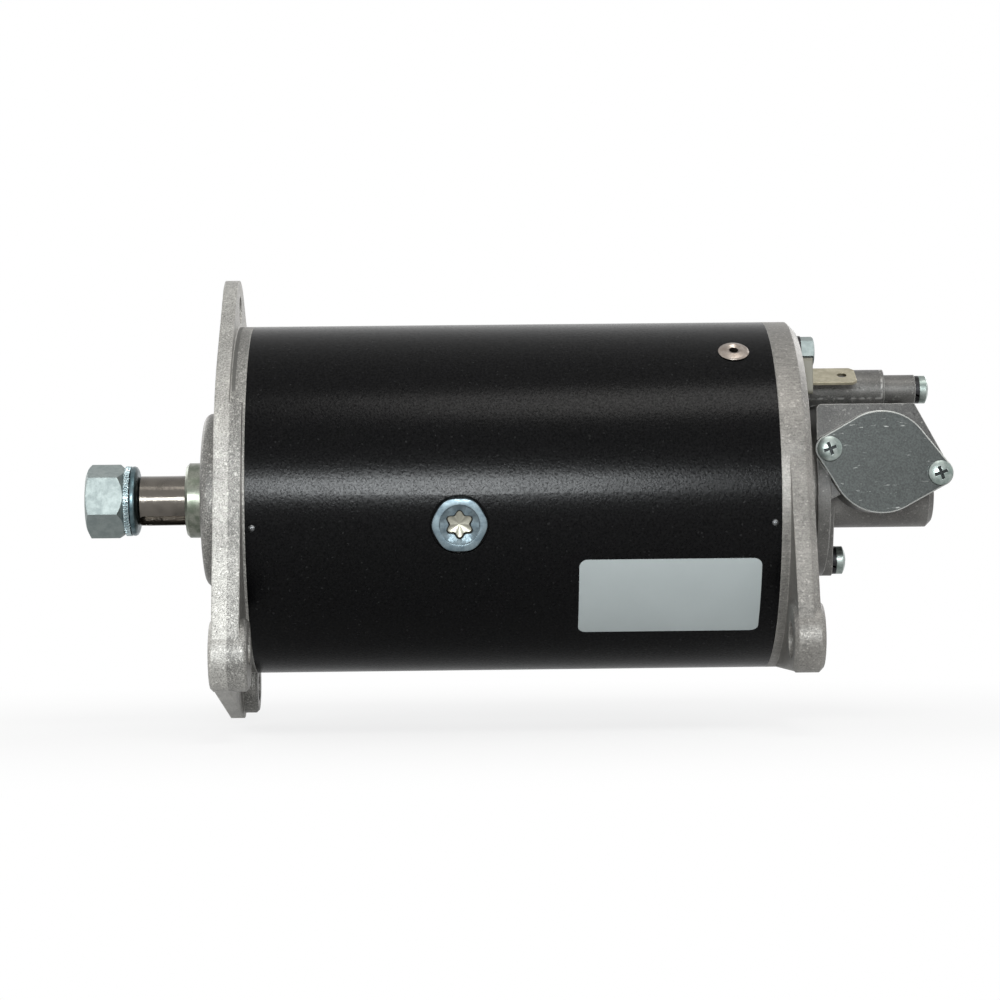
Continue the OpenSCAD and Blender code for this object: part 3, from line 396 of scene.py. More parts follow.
@dataclass(frozen=True)
class SandCast(Finish):
    """Cast aluminium, tumbled: a grey gritty skin with faint streaks and small glints painted into its
    colour.
    """

    tone: Colour
    grit: float = 0.5
    grit_depth: float = 0.16
    streak: float = 0.25
    grain: Grain = Grain.ALONG_Z
    roughness: float = 0.4
    metal: float = 0.45
    bite: float = 1.6
    coarse: float = 0.8
    dark: float = 0.32
    light: float = 1.75
    painted_glint_lift: float = 0.35
    worn_edge: float = 0.25
    ground: float = 0.43

    def shade(self, graph: Graph) -> Signal | float:
        """How much lighter or darker the skin is in some places, or 0 for all of it alike."""
        return 0.0

    def wire(self, graph: Graph) -> None:
        """Adds the grit, the streaks, small painted glints and the edges that wear bright."""
        grit = graph.noise(size=self.grit, detail=2.0, seed=1.0, rough=0.7)
        coarse = graph.noise(size=1.7, detail=3.0, seed=51.0, rough=0.6)
        streak = graph.noise(size=0.5, detail=2.0, grain=self.grain, seed=14.0, rough=0.6)
        cloud = graph.noise(size=11.0, detail=3.0, seed=33.0)
        # Painted glints: small cells lifted lighter in the colour, standing in for grains that catch the
        # light.
        painted_glint = graph.specks(size=0.5, seed=2.0).between(0.9, 1.0)
        normal = graph.rounded(radius=0.8)
        edge = graph.edges(normal, strength=4.0)
        level = (grit - 0.5) * self.bite + (coarse - 0.5) * self.coarse + (streak - 0.5) * self.streak * 3.0
        level = level + (cloud - 0.5) * 0.5 + self.shade(graph)
        level = level + painted_glint * self.painted_glint_lift + edge * self.worn_edge + self.ground
        graph.surface(
            Base_Color=graph.shaded(level, self.tone, self.dark, self.light),
            Metallic=self.metal,
            Roughness=grit * 0.2 + (self.roughness - 0.08),
            Normal=graph.bump(grit * 0.7 + streak * self.streak, depth=self.grit_depth, normal=normal),
        )


@dataclass(frozen=True)
class BossedCast(SandCast):
    """Sand cast skin with a darker boss, and painted shade behind the plate and in the step at its top."""

    boss_radius: float = 25.8
    plate_front: float = 12.2
    plate_back: float = 16.2
    boss_drop: float = 0.34
    # How dark the painted shade behind the plate is.
    painted_back_shade: float = 0.24
    soft_edge: float = 0.4
    # Where the painted shadow line in the plate's upper step lies, and how dark it is.
    step_x: tuple[float, float] = (16.3, 17.6)
    step_z: float = 29.0
    painted_step_shadow: float = 0.6
    step_blur: float = 0.3
    step_fade: float = 4.0

    def shade(self, graph: Graph) -> Signal:
        """Darkens the boss; paints shade behind the plate and a shadow line at the plate's upper step."""
        along = graph.coordinate(Axis.X)
        soft = self.soft_edge
        off_axis = graph.distance((0.0, 0.0, 0.0), (0.0, 1.0, 1.0))
        in_front = along.between(self.plate_front, self.plate_front - soft)
        boss = off_axis.between(self.boss_radius + soft, self.boss_radius) * in_front
        # Painted shade on what lies behind the plate, towards the yoke.
        back = along.between(self.plate_back, self.plate_back + soft)
        # Painted shadow: a dark line along the step at the plate's upper edge.
        step_from, step_to = self.step_x
        starts = along.between(step_from, step_from + self.step_blur)
        ends = along.between(step_to, step_to - self.step_blur)
        step = starts * ends * graph.coordinate(Axis.Z).between(self.step_z, self.step_z + self.step_fade)
        return boss * -self.boss_drop - back * self.painted_back_shade - step * self.painted_step_shadow


@dataclass(frozen=True)
class Recess:
    """The driving recess in a screw head, with painted shade on its walls and a paler floor."""

    top: Point
    outward: Point
    reach: float
    starts: float = 0.1
    dome: float = 0.0
    floor: float = 9.0
    deepest: float = 5.0
    side_blur: float = 0.1
    wall_blur: float = 0.15
    end_blur: float = 0.5

    def masks(self, graph: Graph) -> tuple[Signal, Signal]:
        """Finds the recess from how deep a point lies under the head's face.

        Args:
            graph: The material's tree.

        Returns:
            1 inside the recess, where shade is painted, and 1 on its floor.
        """
        up = graph.along(self.top, self.outward)
        away = graph.distance(self.top)
        across = away * away - up * up
        depth = up * -1.0 - across * self.dome
        inside = across.between((self.reach + self.side_blur) ** 2, (self.reach - self.side_blur) ** 2)
        inside = inside * depth.between(self.deepest + self.end_blur, self.deepest)
        # Painted shade: the whole inside below the recess's mouth is darkened.
        recess_shade = inside * depth.between(self.starts, self.starts + self.wall_blur)
        return recess_shade, inside * depth.between(self.floor, self.floor + self.side_blur)


@dataclass(frozen=True)
class PlatedSteel(Finish):
    """Zinc, tin or nickel plate over machined steel."""

    tone: Colour
    stain: Colour
    roughness: float = 0.3
    grain: Grain = Grain.EVEN
    wear: float = 0.4
    round_over: float = 0.18
    bright_gain: float = 1.25
    bright_lift: float = 0.04
    recesses: tuple[Recess, ...] = ()
    # The painted shade in a recess, and the colour of its floor.
    recess_shade_tone: Colour = (0.02, 0.022, 0.022)
    floor_tone: Colour = (0.28, 0.275, 0.23)

    def wire(self, graph: Graph) -> None:
        """Adds passivated stain, fine tool marks, bright edges and painted shade in any driving recess."""
        stain = graph.noise(size=2.4, detail=4.0, seed=6.0, rough=0.65).between(0.34, 0.66)
        marks = graph.noise(size=0.3, detail=3.0, grain=self.grain, seed=12.0, rough=0.6)
        normal = graph.rounded(radius=self.round_over)
        edge = graph.edges(normal, strength=4.0)
        bright = tuple(min(1.0, c * self.bright_gain + self.bright_lift) for c in self.tone)
        plated = graph.mixed(stain * 0.8 + (marks - 0.5) * 0.7, self.tone, self.stain)
        colour = graph.mixed(edge * self.wear, plated, bright)
        for recess in self.recesses:
            recess_shade, floor = recess.masks(graph)
            # Painted shade darkens the recess; its floor then takes the paler floor tone.
            colour = graph.mixed(floor, graph.mixed(recess_shade, colour, self.recess_shade_tone), self.floor_tone)
        graph.surface(
            Base_Color=colour,
            Metallic=1.0,
            Roughness=marks * 0.16 + stain * 0.08 + (self.roughness - 0.1),
            Normal=graph.bump(marks, depth=0.02, normal=normal),
        )


@dataclass(frozen=True)
class TurnedSteel(Finish):
    """Steel or bronze turned in a lathe, with its tool rings."""

    tone: Colour
    axis: Axis = Axis.X
    pitch: float = 0.35
    roughness: float = 0.32
    stain: float = 0.3
    dulling: float = 0.45

    def wire(self, graph: Graph) -> None:
        """Adds the tool rings and the oil stains."""
        along = graph.coordinate(self.axis)
        wander = graph.noise(size=6.0, detail=2.0) * 5.0
        rings = (along * (FULL_TURN / self.pitch) + wander).sine() * 0.5 + 0.5
        stain = graph.noise(size=5.0, detail=4.0, seed=4.0).between(0.4, 0.75)
        normal = graph.rounded(radius=0.15)
        dull = tuple(c * self.dulling for c in self.tone)
        graph.surface(
            Base_Color=graph.mixed(stain * self.stain, self.tone, dull),
            Metallic=1.0,
            Roughness=rings * 0.08 + stain * 0.2 + (self.roughness - 0.08),
            Normal=graph.bump(rings, depth=0.012, normal=normal),
        )


@dataclass(frozen=True)
class DieCast(Finish):
    """Dark die casting with fine pores, bright trimmed edges, painted glints and painted shade on its front.
    """

    tone: Colour = (0.101, 0.098, 0.092)
    flash: Colour = (0.50, 0.49, 0.47)
    roughness: float = 0.42
    seam_x: float = 204.1
    seam_z: float = 27.9
    seam_blur: tuple[float, float] = (0.45, 0.15)
    turn_blur: tuple[float, float] = (0.4, 0.15)
    seam_show: float = 0.45
    # Where the painted shade on the face towards the camera lies, and how dark it is.
    front_y: float = -21.5
    front_blur: tuple[float, float] = (0.5, 0.2)
    front_z: tuple[float, float] = (-9.0, 3.0)
    front_shade: float = 0.3

    def front(self, graph: Graph) -> Signal:
        """Where shade is painted: 1 on the face towards the camera, fading out down to its lower flange."""
        near = graph.coordinate(Axis.Y).between(*(self.front_y + blur for blur in self.front_blur))
        return near * graph.coordinate(Axis.Z).between(*self.front_z)

    def flash_lines(self, graph: Graph) -> Signal:
        """A broken flash line that runs up the housing and one that runs level from its foot.

        Args:
            graph: The material's tree.

        Returns:
            1 on the lines.
        """
        off_seam = graph.coordinate(Axis.X) - self.seam_x
        over_seam = graph.coordinate(Axis.Z) - self.seam_z
        upright = off_seam.most(off_seam * -1.0).between(*self.seam_blur) * over_seam.between(-0.2, 0.2)
        level = over_seam.most(over_seam * -1.0).between(*self.turn_blur) * off_seam.between(0.3, 0.0)
        return upright.most(level) * graph.noise(size=1.6, detail=2.0, seed=44.0).between(0.4, 0.55)

    def wire(self, graph: Graph) -> None:
        """Adds the flow clouds, the pores, painted glints, painted shade on the front face and the flash
        lines.
        """
        cloud = graph.noise(size=7.0, detail=4.0, seed=18.0)
        grit = graph.noise(size=0.4, detail=3.0, seed=2.0, rough=0.6)
        pores = graph.noise(size=1.4, detail=2.0, seed=7.0).between(0.3, 0.22)
        normal = graph.rounded(radius=0.55)
        rubbed = graph.noise(size=5.0, detail=2.0, seed=40.0).between(0.3, 0.55)
        edge = graph.edges(normal, strength=5.0) * rubbed
        # Painted glints: small cells lifted lighter in the colour.
        painted_glint = graph.specks(size=0.5, seed=4.0).between(0.93, 1.0)
        level = (cloud - 0.5) * 0.8 + (grit - 0.5) * 1.2 - pores * 0.4 + painted_glint * 0.6
        # Painted shade: the face towards the camera is darkened where the front lamp lights it most.
        level = level - self.front(graph) * self.front_shade + 0.45
        body = graph.shaded(level, self.tone, dark=0.35, light=1.75)
        bare = (edge * 0.8).most(self.flash_lines(graph) * self.seam_show)
        graph.surface(
            Base_Color=graph.mixed(bare, body, self.flash),
            Metallic=0.35,
            Roughness=grit * 0.2 + (self.roughness - 0.08),
            Normal=graph.bump(grit * 0.6 - pores, depth=0.09, normal=normal),
        )


@dataclass(frozen=True)
class ScratchedPlate(Finish):
    """Sheet steel cover in dull grey-green zinc, scratched in handling."""

    tone: Colour = (0.038, 0.042, 0.0402)
    bare: Colour = (0.62, 0.63, 0.6)

    def wire(self, graph: Graph) -> None:
        """Adds fine scratches, the zinc's mottle, and a painted highlight in bare steel colour on the edge.
        """
        cloud = graph.noise(size=5.0, detail=4.0, seed=11.0)
        spangle = graph.noise(size=0.55, detail=3.0, seed=13.0, rough=0.7).between(0.3, 0.7)
        drag = graph.noise(size=0.8, detail=3.0, grain=Grain.ALONG_X, seed=17.0, rough=0.7)
        scratch = drag.between(0.63, 0.75) * 0.35
        normal = graph.rounded(radius=0.8)
        # Painted highlight: this edge mask lifts the rounded edge to the bare steel colour of the scratches.
        edge = graph.edges(normal, strength=9.0)
        body = graph.shaded(cloud * 0.4 + spangle * 0.6, self.tone, dark=0.4, light=1.55)
        graph.surface(
            Base_Color=graph.mixed(scratch.most(edge * 1.6), body, self.bare),
            Metallic=0.6,
            Roughness=cloud * 0.12 + spangle * 0.06 + 0.34,
            Normal=graph.bump(cloud * 0.6 - scratch, depth=0.02, normal=normal),
        )


@dataclass(frozen=True)
class RatingFoil(Finish):
    """Matt silver foil, left blank."""

    tone: Colour = (0.36, 0.395, 0.395)

    def wire(self, graph: Graph) -> None:
        """Adds the foil's fine grain and its faint creases."""
        grain = graph.noise(size=0.25, detail=2.0, grain=Grain.ALONG_X, seed=3.0)
        cloud = graph.noise(size=12.0, detail=3.0, seed=8.0)
        crease = graph.noise(size=2.2, detail=2.0, seed=15.0)
        graph.surface(
            Base_Color=graph.shaded(cloud * 0.8 + grain * 0.3, self.tone, dark=0.93, light=1.06),
            Metallic=0.3,
            Roughness=grain * 0.08 + 0.46,
            Normal=graph.bump(grain * 0.2 + crease * 0.8, depth=0.02),
        )


@dataclass(frozen=True)
class Moulding(Finish):
    """Moulded or laminated insulation, or hard carbon, with a fine bump and a faint cloud."""

    tone: Colour
    roughness: float = 0.5
    grit: float = 0.3
    grit_depth: float = 0.02

    def wire(self, graph: Graph) -> None:
        """Adds the fine grit and the slight change of tone."""
        grit = graph.noise(size=self.grit, detail=2.0, seed=5.0)
        cloud = graph.noise(size=3.0, detail=3.0, seed=10.0)
        normal = graph.rounded(radius=0.25)
        graph.surface(
            Base_Color=graph.shaded(cloud * 0.8 + grit * 0.2, self.tone, dark=0.86, light=1.1),
            Roughness=grit * 0.14 + (self.roughness - 0.07),
            Normal=graph.bump(grit, depth=self.grit_depth, normal=normal),
        )


@dataclass(frozen=True)
class Layered(Finish):
    """Stacked laminations or turns of wire or tape, seen as fine ribs along one axis."""

    tone: Colour
    gap: Colour
    axis: Axis = Axis.X
    pitch: float = 0.9
    depth: float = 0.12
    metal: float = 0.0
    roughness: float = 0.42

    def wire(self, graph: Graph) -> None:
        """Adds the ribs, their gaps and the varnish's clouds."""
        along = graph.coordinate(self.axis)
        wander = graph.noise(size=4.0, detail=2.0, seed=2.0) * 1.6
        rib = (along * (FULL_TURN / self.pitch) + wander).sine() * 0.5 + 0.5
        cloud = graph.noise(size=6.0, detail=3.0, seed=19.0)
        body = graph.shaded(cloud, self.tone, dark=0.7, light=1.2)
        graph.surface(
            Base_Color=graph.mixed(rib.between(0.3, 0.0), body, self.gap),
            Metallic=self.metal,
            Roughness=cloud * 0.16 + (self.roughness - 0.08),
            Normal=graph.bump(rib, depth=self.depth, normal=graph.rounded(radius=0.2)),
        )


@dataclass(frozen=True)
class Fibre(Finish):
    """Pressed felt or oiled paper, with its matted fibres."""

    tone: Colour
    fibre: float = 0.25
    depth: float = 0.1

    def wire(self, graph: Graph) -> None:
        """Adds crossed fibres in two sizes."""
        first = graph.noise(size=self.fibre, detail=4.0, grain=Grain.ALONG_Z, seed=1.0, rough=0.7)
        second = graph.noise(size=self.fibre, detail=4.0, grain=Grain.ALONG_X, seed=6.0, rough=0.7)
        mat = first.most(second)
        graph.surface(
            Base_Color=graph.shaded(mat, self.tone, dark=0.6, light=1.15),
            Roughness=mat * 0.1 + 0.82,
            Normal=graph.bump(mat, depth=self.depth),
        )


YOKE_RADIUS = highest("yoke", Axis.Y)
POLE_X = middle("pole_screws", Axis.X)
POLE_PROUD = 0.8
POLE_FACE = YOKE_RADIUS + POLE_PROUD
POLE_TILT = math.radians(8.5)
POLE_HEAD = (0.0, -math.cos(POLE_TILT), -math.sin(POLE_TILT))
COVER_HEAD_RADIUS = 3.5
DOME_TIP = 0.03


def pole_recesses() -> tuple[Recess, ...]:
    """The pale-floored sockets of the near and the far pole screw."""
    ways = [tuple(side * c for c in POLE_HEAD) for side in (1.0, -1.0)]
    tops = [(POLE_X, *(c * POLE_FACE for c in way[1:])) for way in ways]
    return tuple(Recess(top, way, reach=5.2, starts=0.75, floor=1.9) for top, way in zip(tops, ways))


def cross_recesses() -> tuple[Recess, ...]:
    """The cross recesses of the cover's and the housing's screws.

    Returns:
        The recesses. Each starts at its dome's tip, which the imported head's own recess cuts away.
    """
    cover = "cover_screws"
    face, edge = lowest(cover, Axis.Y) - DOME_TIP, COVER_HEAD_RADIUS
    upper = (lowest(cover, Axis.X) + edge, face, highest(cover, Axis.Z) - edge)
    lower = (highest(cover, Axis.X) - edge, face, lowest(cover, Axis.Z) + edge)
    recesses = [Recess(top, TO_CAMERA, reach=2.1, dome=0.0714) for top in (upper, lower)]
    for node in ("long_housing_screw", "short_housing_screw"):
        top = (highest(node, Axis.X) + DOME_TIP, middle(node, Axis.Y), middle(node, Axis.Z))
        recesses.append(Recess(top, TO_RIGHT, reach=2.4, dome=0.061))
    return tuple(recesses)


ENAMEL = YokeEnamel("yoke_enamel")
DRIVE_END_CAST = BossedCast("drive_end_cast", (0.35, 0.341, 0.318), grit=0.38, streak=0.12, coarse=0.25)
COMMUTATOR_END_CAST = SandCast(
    "commutator_end_cast",
    (0.2, 0.191, 0.176),
    streak=0.22,
    grain=Grain.ALONG_X,
    grit_depth=0.1,
    bite=0.9,
    coarse=0.3,
)
HOUSING_CAST = DieCast("housing_die_cast")
COVER_PLATE = ScratchedPlate("cover_plate")
BLUE_ZINC = PlatedSteel("blue_zinc", (0.26, 0.295, 0.288), (0.205, 0.24, 0.238), roughness=0.52)
POLE_ZINC = PlatedSteel(
    "pole_zinc",
    (0.17, 0.215, 0.235),
    (0.08, 0.11, 0.13),
    roughness=0.4,
    wear=1.0,
    round_over=0.3,
    recesses=pole_recesses(),
)
TOOTH_ZINC = PlatedSteel("tooth_zinc", (0.40, 0.47, 0.48), (0.20, 0.27, 0.29), wear=0.8)
SPRING_ZINC = PlatedSteel("spring_zinc", (0.13, 0.18, 0.195), (0.04, 0.07, 0.08), wear=0.8)
YELLOW_ZINC = PlatedSteel("yellow_zinc", (0.23, 0.24, 0.205), (0.10, 0.12, 0.09))
RETAINER_ZINC = PlatedSteel("retainer_zinc", (0.34, 0.38, 0.36), (0.15, 0.19, 0.175), roughness=0.32)
SCREW_ZINC = replace(RETAINER_ZINC, name="screw_zinc", recesses=cross_recesses())
TIN_PLATE = PlatedSteel(
    "tin_plate", (0.42, 0.385, 0.285), (0.30, 0.275, 0.20), roughness=0.34, grain=Grain.ALONG_X
)
RIVET_TIN = PlatedSteel("rivet_tin", (0.34, 0.30, 0.265), (0.20, 0.165, 0.14), roughness=0.32)
BLACK_SPRING = PlatedSteel(
    "black_spring", (0.035, 0.035, 0.037), (0.02, 0.02, 0.02), roughness=0.42, wear=0.2
)
BLUED_SPRING = PlatedSteel("blued_spring", (0.12, 0.16, 0.24), (0.07, 0.08, 0.12), roughness=0.26)
DULL_STEEL = PlatedSteel("dull_steel", (0.34, 0.35, 0.36), (0.24, 0.25, 0.26), roughness=0.4)
BRASS_SHEET = PlatedSteel(
    "brass_sheet", (0.60, 0.45, 0.20), (0.42, 0.29, 0.12), roughness=0.34, grain=Grain.ALONG_Z
)
SHAFT_STEEL = TurnedSteel("shaft_steel", (0.14, 0.128, 0.113), roughness=0.17, stain=0.6)
DOWEL_STEEL = TurnedSteel("dowel_steel", (0.17, 0.175, 0.18), pitch=0.12, roughness=0.2)
GROUND_STEEL = TurnedSteel("ground_steel", (0.58, 0.59, 0.60), pitch=0.12, roughness=0.2, stain=0.1)
SPINDLE_STEEL = TurnedSteel("spindle_steel", (0.40, 0.40, 0.39), Axis.Y, pitch=0.25)
UNION_STEEL = TurnedSteel("union_steel", (0.36, 0.38, 0.37), Axis.Y, pitch=0.3, roughness=0.36)
OILED_BRONZE = TurnedSteel("oiled_bronze", (0.42, 0.25, 0.11), pitch=0.3, roughness=0.38)
CROSS_BRONZE = replace(OILED_BRONZE, name="cross_bronze", axis=Axis.Y)
COPPER_BARS = TurnedSteel("copper_bars", (0.62, 0.29, 0.15), pitch=0.18, roughness=0.28)
POLE_IRON = Moulding("pole_iron", (0.05, 0.05, 0.052), grit=0.8, grit_depth=0.08)
CORE_STACK = Layered(
    "core_stack", (0.16, 0.16, 0.165), (0.03, 0.03, 0.03), pitch=0.7, depth=0.06, metal=0.8, roughness=0.4
)
COPPER_WIRE = Layered(
    "copper_wire", (0.36, 0.13, 0.05), (0.10, 0.03, 0.012), pitch=1.1, depth=0.25, metal=0.2, roughness=0.34
)
COTTON_TAPE = Layered(
    "cotton_tape", (0.26, 0.19, 0.10), (0.10, 0.07, 0.035), pitch=4.0, depth=0.25, roughness=0.6
)
FIBRE_BOARD = Moulding("fibre_board", (0.20, 0.085, 0.045), roughness=0.46)
TERMINAL_MOULD = Moulding("terminal_mould", (0.175, 0.168, 0.135))
NYLON = Moulding("nylon", (0.66, 0.62, 0.52), roughness=0.42)
CARBON = Moulding("pressed_carbon", (0.022, 0.022, 0.023), roughness=0.44, grit=0.2)
OILED_FELT = Fibre("oiled_felt", (0.50, 0.44, 0.32))
GASKET_PAPER = Fibre("gasket_paper", (0.05, 0.043, 0.032), fibre=0.18, depth=0.03)
FOIL = RatingFoil("rating_foil")


def shape(
    name: str, points: Sequence[Point], faces: Sequence[Sequence[int]], finish: Finish, body: str
) -> bpy.types.Object:
    """Makes one piece from points in millimetres and lets it ride on a body.

    Args:
        name: The piece's name.
        points: Its points in the row frame.
        faces: Its faces, as rows of point numbers.
        finish: Its finish.
        body: The body that carries it.

    Returns:
        The new object.
    """
    mesh = bpy.data.meshes.new(name)
    mesh.from_pydata([tuple(c * MM for c in p) for p in points], [], [tuple(f) for f in faces])
    work = bmesh.new()
    work.from_mesh(mesh)
    bmesh.ops.remove_doubles(work, verts=work.verts, dist=MERGE)
    bmesh.ops.recalc_face_normals(work, faces=work.faces)
    work.to_mesh(mesh)
    work.free()
    mesh.materials.append(finish.build())
    mesh.polygons.foreach_set("use_smooth", [True] * len(mesh.polygons))
    mesh.set_sharp_from_angle(angle=math.radians(SMOOTH_ANGLE))
    piece = bpy.data.objects.new(name, mesh)
    bpy.context.scene.collection.objects.link(piece)
    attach(piece, body)
    LOG.info("made %s with %d faces on %s", name, len(mesh.polygons), body)
    return piece


def turned(radius: float, turn: float) -> tuple[float, float]:
    """The two coordinates of a point on a circle, with its turn round the circle from 0 to 1."""
    angle = FULL_TURN * turn
    return radius * math.cos(angle), radius * math.sin(angle)


def rings_to_faces(rings: int, around: int, closed: bool = True) -> list[tuple[int, int, int, int]]:
    """Quads between rings of points.

    Args:
        rings: Number of rings.
        around: Points in each ring.
        closed: Whether each ring joins up.

    Returns:
        The quads as rows of point numbers.
    """
    faces = []
    for low in range(0, (rings - 1) * around, around):
        high = low + around
        for i in range(around if closed else around - 1):
            following = (i + 1) % around
            faces.append((low + i, low + following, high + following, high + i))
    return faces


@dataclass
class Group:
    """One sub-assembly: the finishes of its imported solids, and the shapes that it adds."""

    FINISHES: ClassVar[Mapping[str, Finish]] = {}

    def build(self) -> None:
        """Dresses the solids, then adds the shapes."""
        for node, finish in self.FINISHES.items():
            material = finish.build()
            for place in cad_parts[node].material_slots:
                place.material = material
            LOG.info("dressed %s in %s", node, finish.name)
        self.shapes()

    def shapes(self) -> None:
        """Adds the group's own shapes, if it has any."""


@dataclass
class YokeGroup(Group):
    """The yoke, its poles and field coils, and the blank rating plate."""

    FINISHES = {
        "yoke": ENAMEL,
        "pole_shoes": POLE_IRON,
        "field_coils": COTTON_TAPE,
        "field_rivet": RIVET_TIN,
        "locating_dowels": DOWEL_STEEL,
    }

    radius: float = YOKE_RADIUS
    plate_from: float = 112.8
    plate_to: float = 163.6
    plate_top: float = -17.6
    plate_bottom: float = -38.2
    plate_corner: float = 2.2
    plate_gap: float = 0.01
    plate_lift: float = 0.14
    plate_columns: int = 9
    plate_rows: int = 12
    pole_x: float = POLE_X
    pole_face: float = POLE_FACE
    head_radius: float = POLE_X - lowest("pole_screws", Axis.X)
    head_height: float = 3.0
    head_flats: float = 0.045
    ring_radius: float = 5.5
    socket_radius: float = 3.5
    socket_star: float = 0.52
    socket_points: int = 6
    shank_radius: float = 4.0
    shank_end: float = -10.0
    screw_sides: int = 144

    def shapes(self) -> None:
        """Makes the pole screws and the rating plate."""
        for name, side in (("near_pole_screw", 1.0), ("far_pole_screw", -1.0)):
            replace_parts(self.pole_screw(name, side), "pole_screws")
        self.rating_plate()

    def pole_screw(self, name: str, side: float) -> bpy.types.Object:
        """A pole shoe screw: a sunk round head with eased flats, a raised ring and a six-point socket.

        Args:
            name: The piece's name.
            side: 1 for the near pole, -1 for the far one.

        Returns:
            The screw.
        """
        head, top, socket = self.head_radius, self.head_height, self.socket_radius
        flats, star = self.head_flats, self.socket_star
        rings = [
            (NEAR_AXIS, self.shank_end, 0.0, 0.0),
            (self.shank_radius, self.shank_end, 0.0, 0.0),
            (self.shank_radius, 0.0, 0.0, 0.0),
            (head - 0.1, 0.0, flats, 0.0),
            (head, 0.3, flats, 0.0),
            (head, top - 0.35, flats, 0.0),
            (head - 0.12, top - 0.1, flats, 0.0),
            (head - 0.4, top, flats, 0.0),
            (self.ring_radius + 0.2, top, 0.0, 0.0),
            (self.ring_radius - 0.1, top - 0.3, 0.0, 0.0),
            (socket + 0.15, top - 0.7, 0.0, star),
            (socket, top - 0.85, 0.0, star),
            (socket - 0.3, top - 1.95, 0.0, star),
            (socket - 0.45, top - 2.02, 0.0, star * 0.8),
            (NEAR_AXIS, top - 2.4, 0.0, 0.0),
        ]
        along = Vector(POLE_HEAD) * side
        across = Vector(TO_RIGHT)
        upward = along.cross(across)
        foot = Vector((self.pole_x, 0.0, 0.0)) + along * (self.pole_face - top)
        points: list[Point] = []
        for radius, height, eased, drawn in rings:
            for i in range(self.screw_sides):
                turn = i / self.screw_sides
                wave = math.cos(FULL_TURN * self.socket_points * turn + math.pi)
                a, b = turned(radius * (1.0 - eased * (0.5 + 0.5 * wave)) + drawn * wave, turn)
                points.append(tuple(foot + across * a + upward * b + along * height))
        faces = rings_to_faces(len(rings), self.screw_sides)
        return shape(name, points, faces, POLE_ZINC, "stator")

    def rating_plate(self) -> None:
        """A blank foil plate with round corners, bent to the yoke on the near side."""
        top = math.asin(self.plate_top / self.radius)
        bottom = math.asin(self.plate_bottom / self.radius)
        height = (top - bottom) * self.radius
        corner = self.plate_corner
        steps = [corner * (1.0 - math.cos(math.radians(a))) for a in range(0, 91, 15)]
        count = self.plate_rows
        straight = [corner + (height - 2.0 * corner) * i / count for i in range(1, count)]
        rows = steps + straight + [height - s for s in reversed(steps)]
        points: list[Point] = []
        across = self.plate_columns
        for lift in (self.plate_gap, self.plate_lift):
            for down in rows:
                inset = corner - min(corner, down, height - down)
                cut = corner - math.sqrt(max(0.0, corner**2 - inset**2))
                width = self.plate_to - self.plate_from - 2.0 * cut
                angle = top - down / self.radius
                reach = self.radius + lift
                for i in range(across):
                    x = self.plate_from + cut + width * i / (across - 1)
                    points.append((x, -reach * math.cos(angle), reach * math.sin(angle)))
        sheet = rings_to_faces(len(rows), across, closed=False)
        layer = len(rows) * across
        rim = (
            list(range(across))
            + [r * across + across - 1 for r in range(1, len(rows))]
            + [(len(rows) - 1) * across + i for i in range(across - 2, -1, -1)]
            + [r * across for r in range(len(rows) - 2, 0, -1)]
        )
        sides = [(a, b, b + layer, a + layer) for a, b in zip(rim, rim[1:] + rim[:1])]
        faces = [*sheet, *[tuple(i + layer for i in reversed(f)) for f in sheet], *sides]
        shape("rating_plate", points, faces, FOIL, "stator")


@dataclass
class DriveEndGroup(Group):
    """The drive end bracket with its ball bearing and seals."""

    FINISHES = {
        "drive_end_bracket": DRIVE_END_CAST,
        "bearing_outer_race": GROUND_STEEL,
        "bearing_inner_race": GROUND_STEEL,
        "bearing_balls": GROUND_STEEL,
        "bearing_cage": BRASS_SHEET,
        "bearing_retainer": DULL_STEEL,
        "retainer_screws": RETAINER_ZINC,
        "felt_ring": OILED_FELT,
        "felt_pressure_ring": DULL_STEEL,
    }


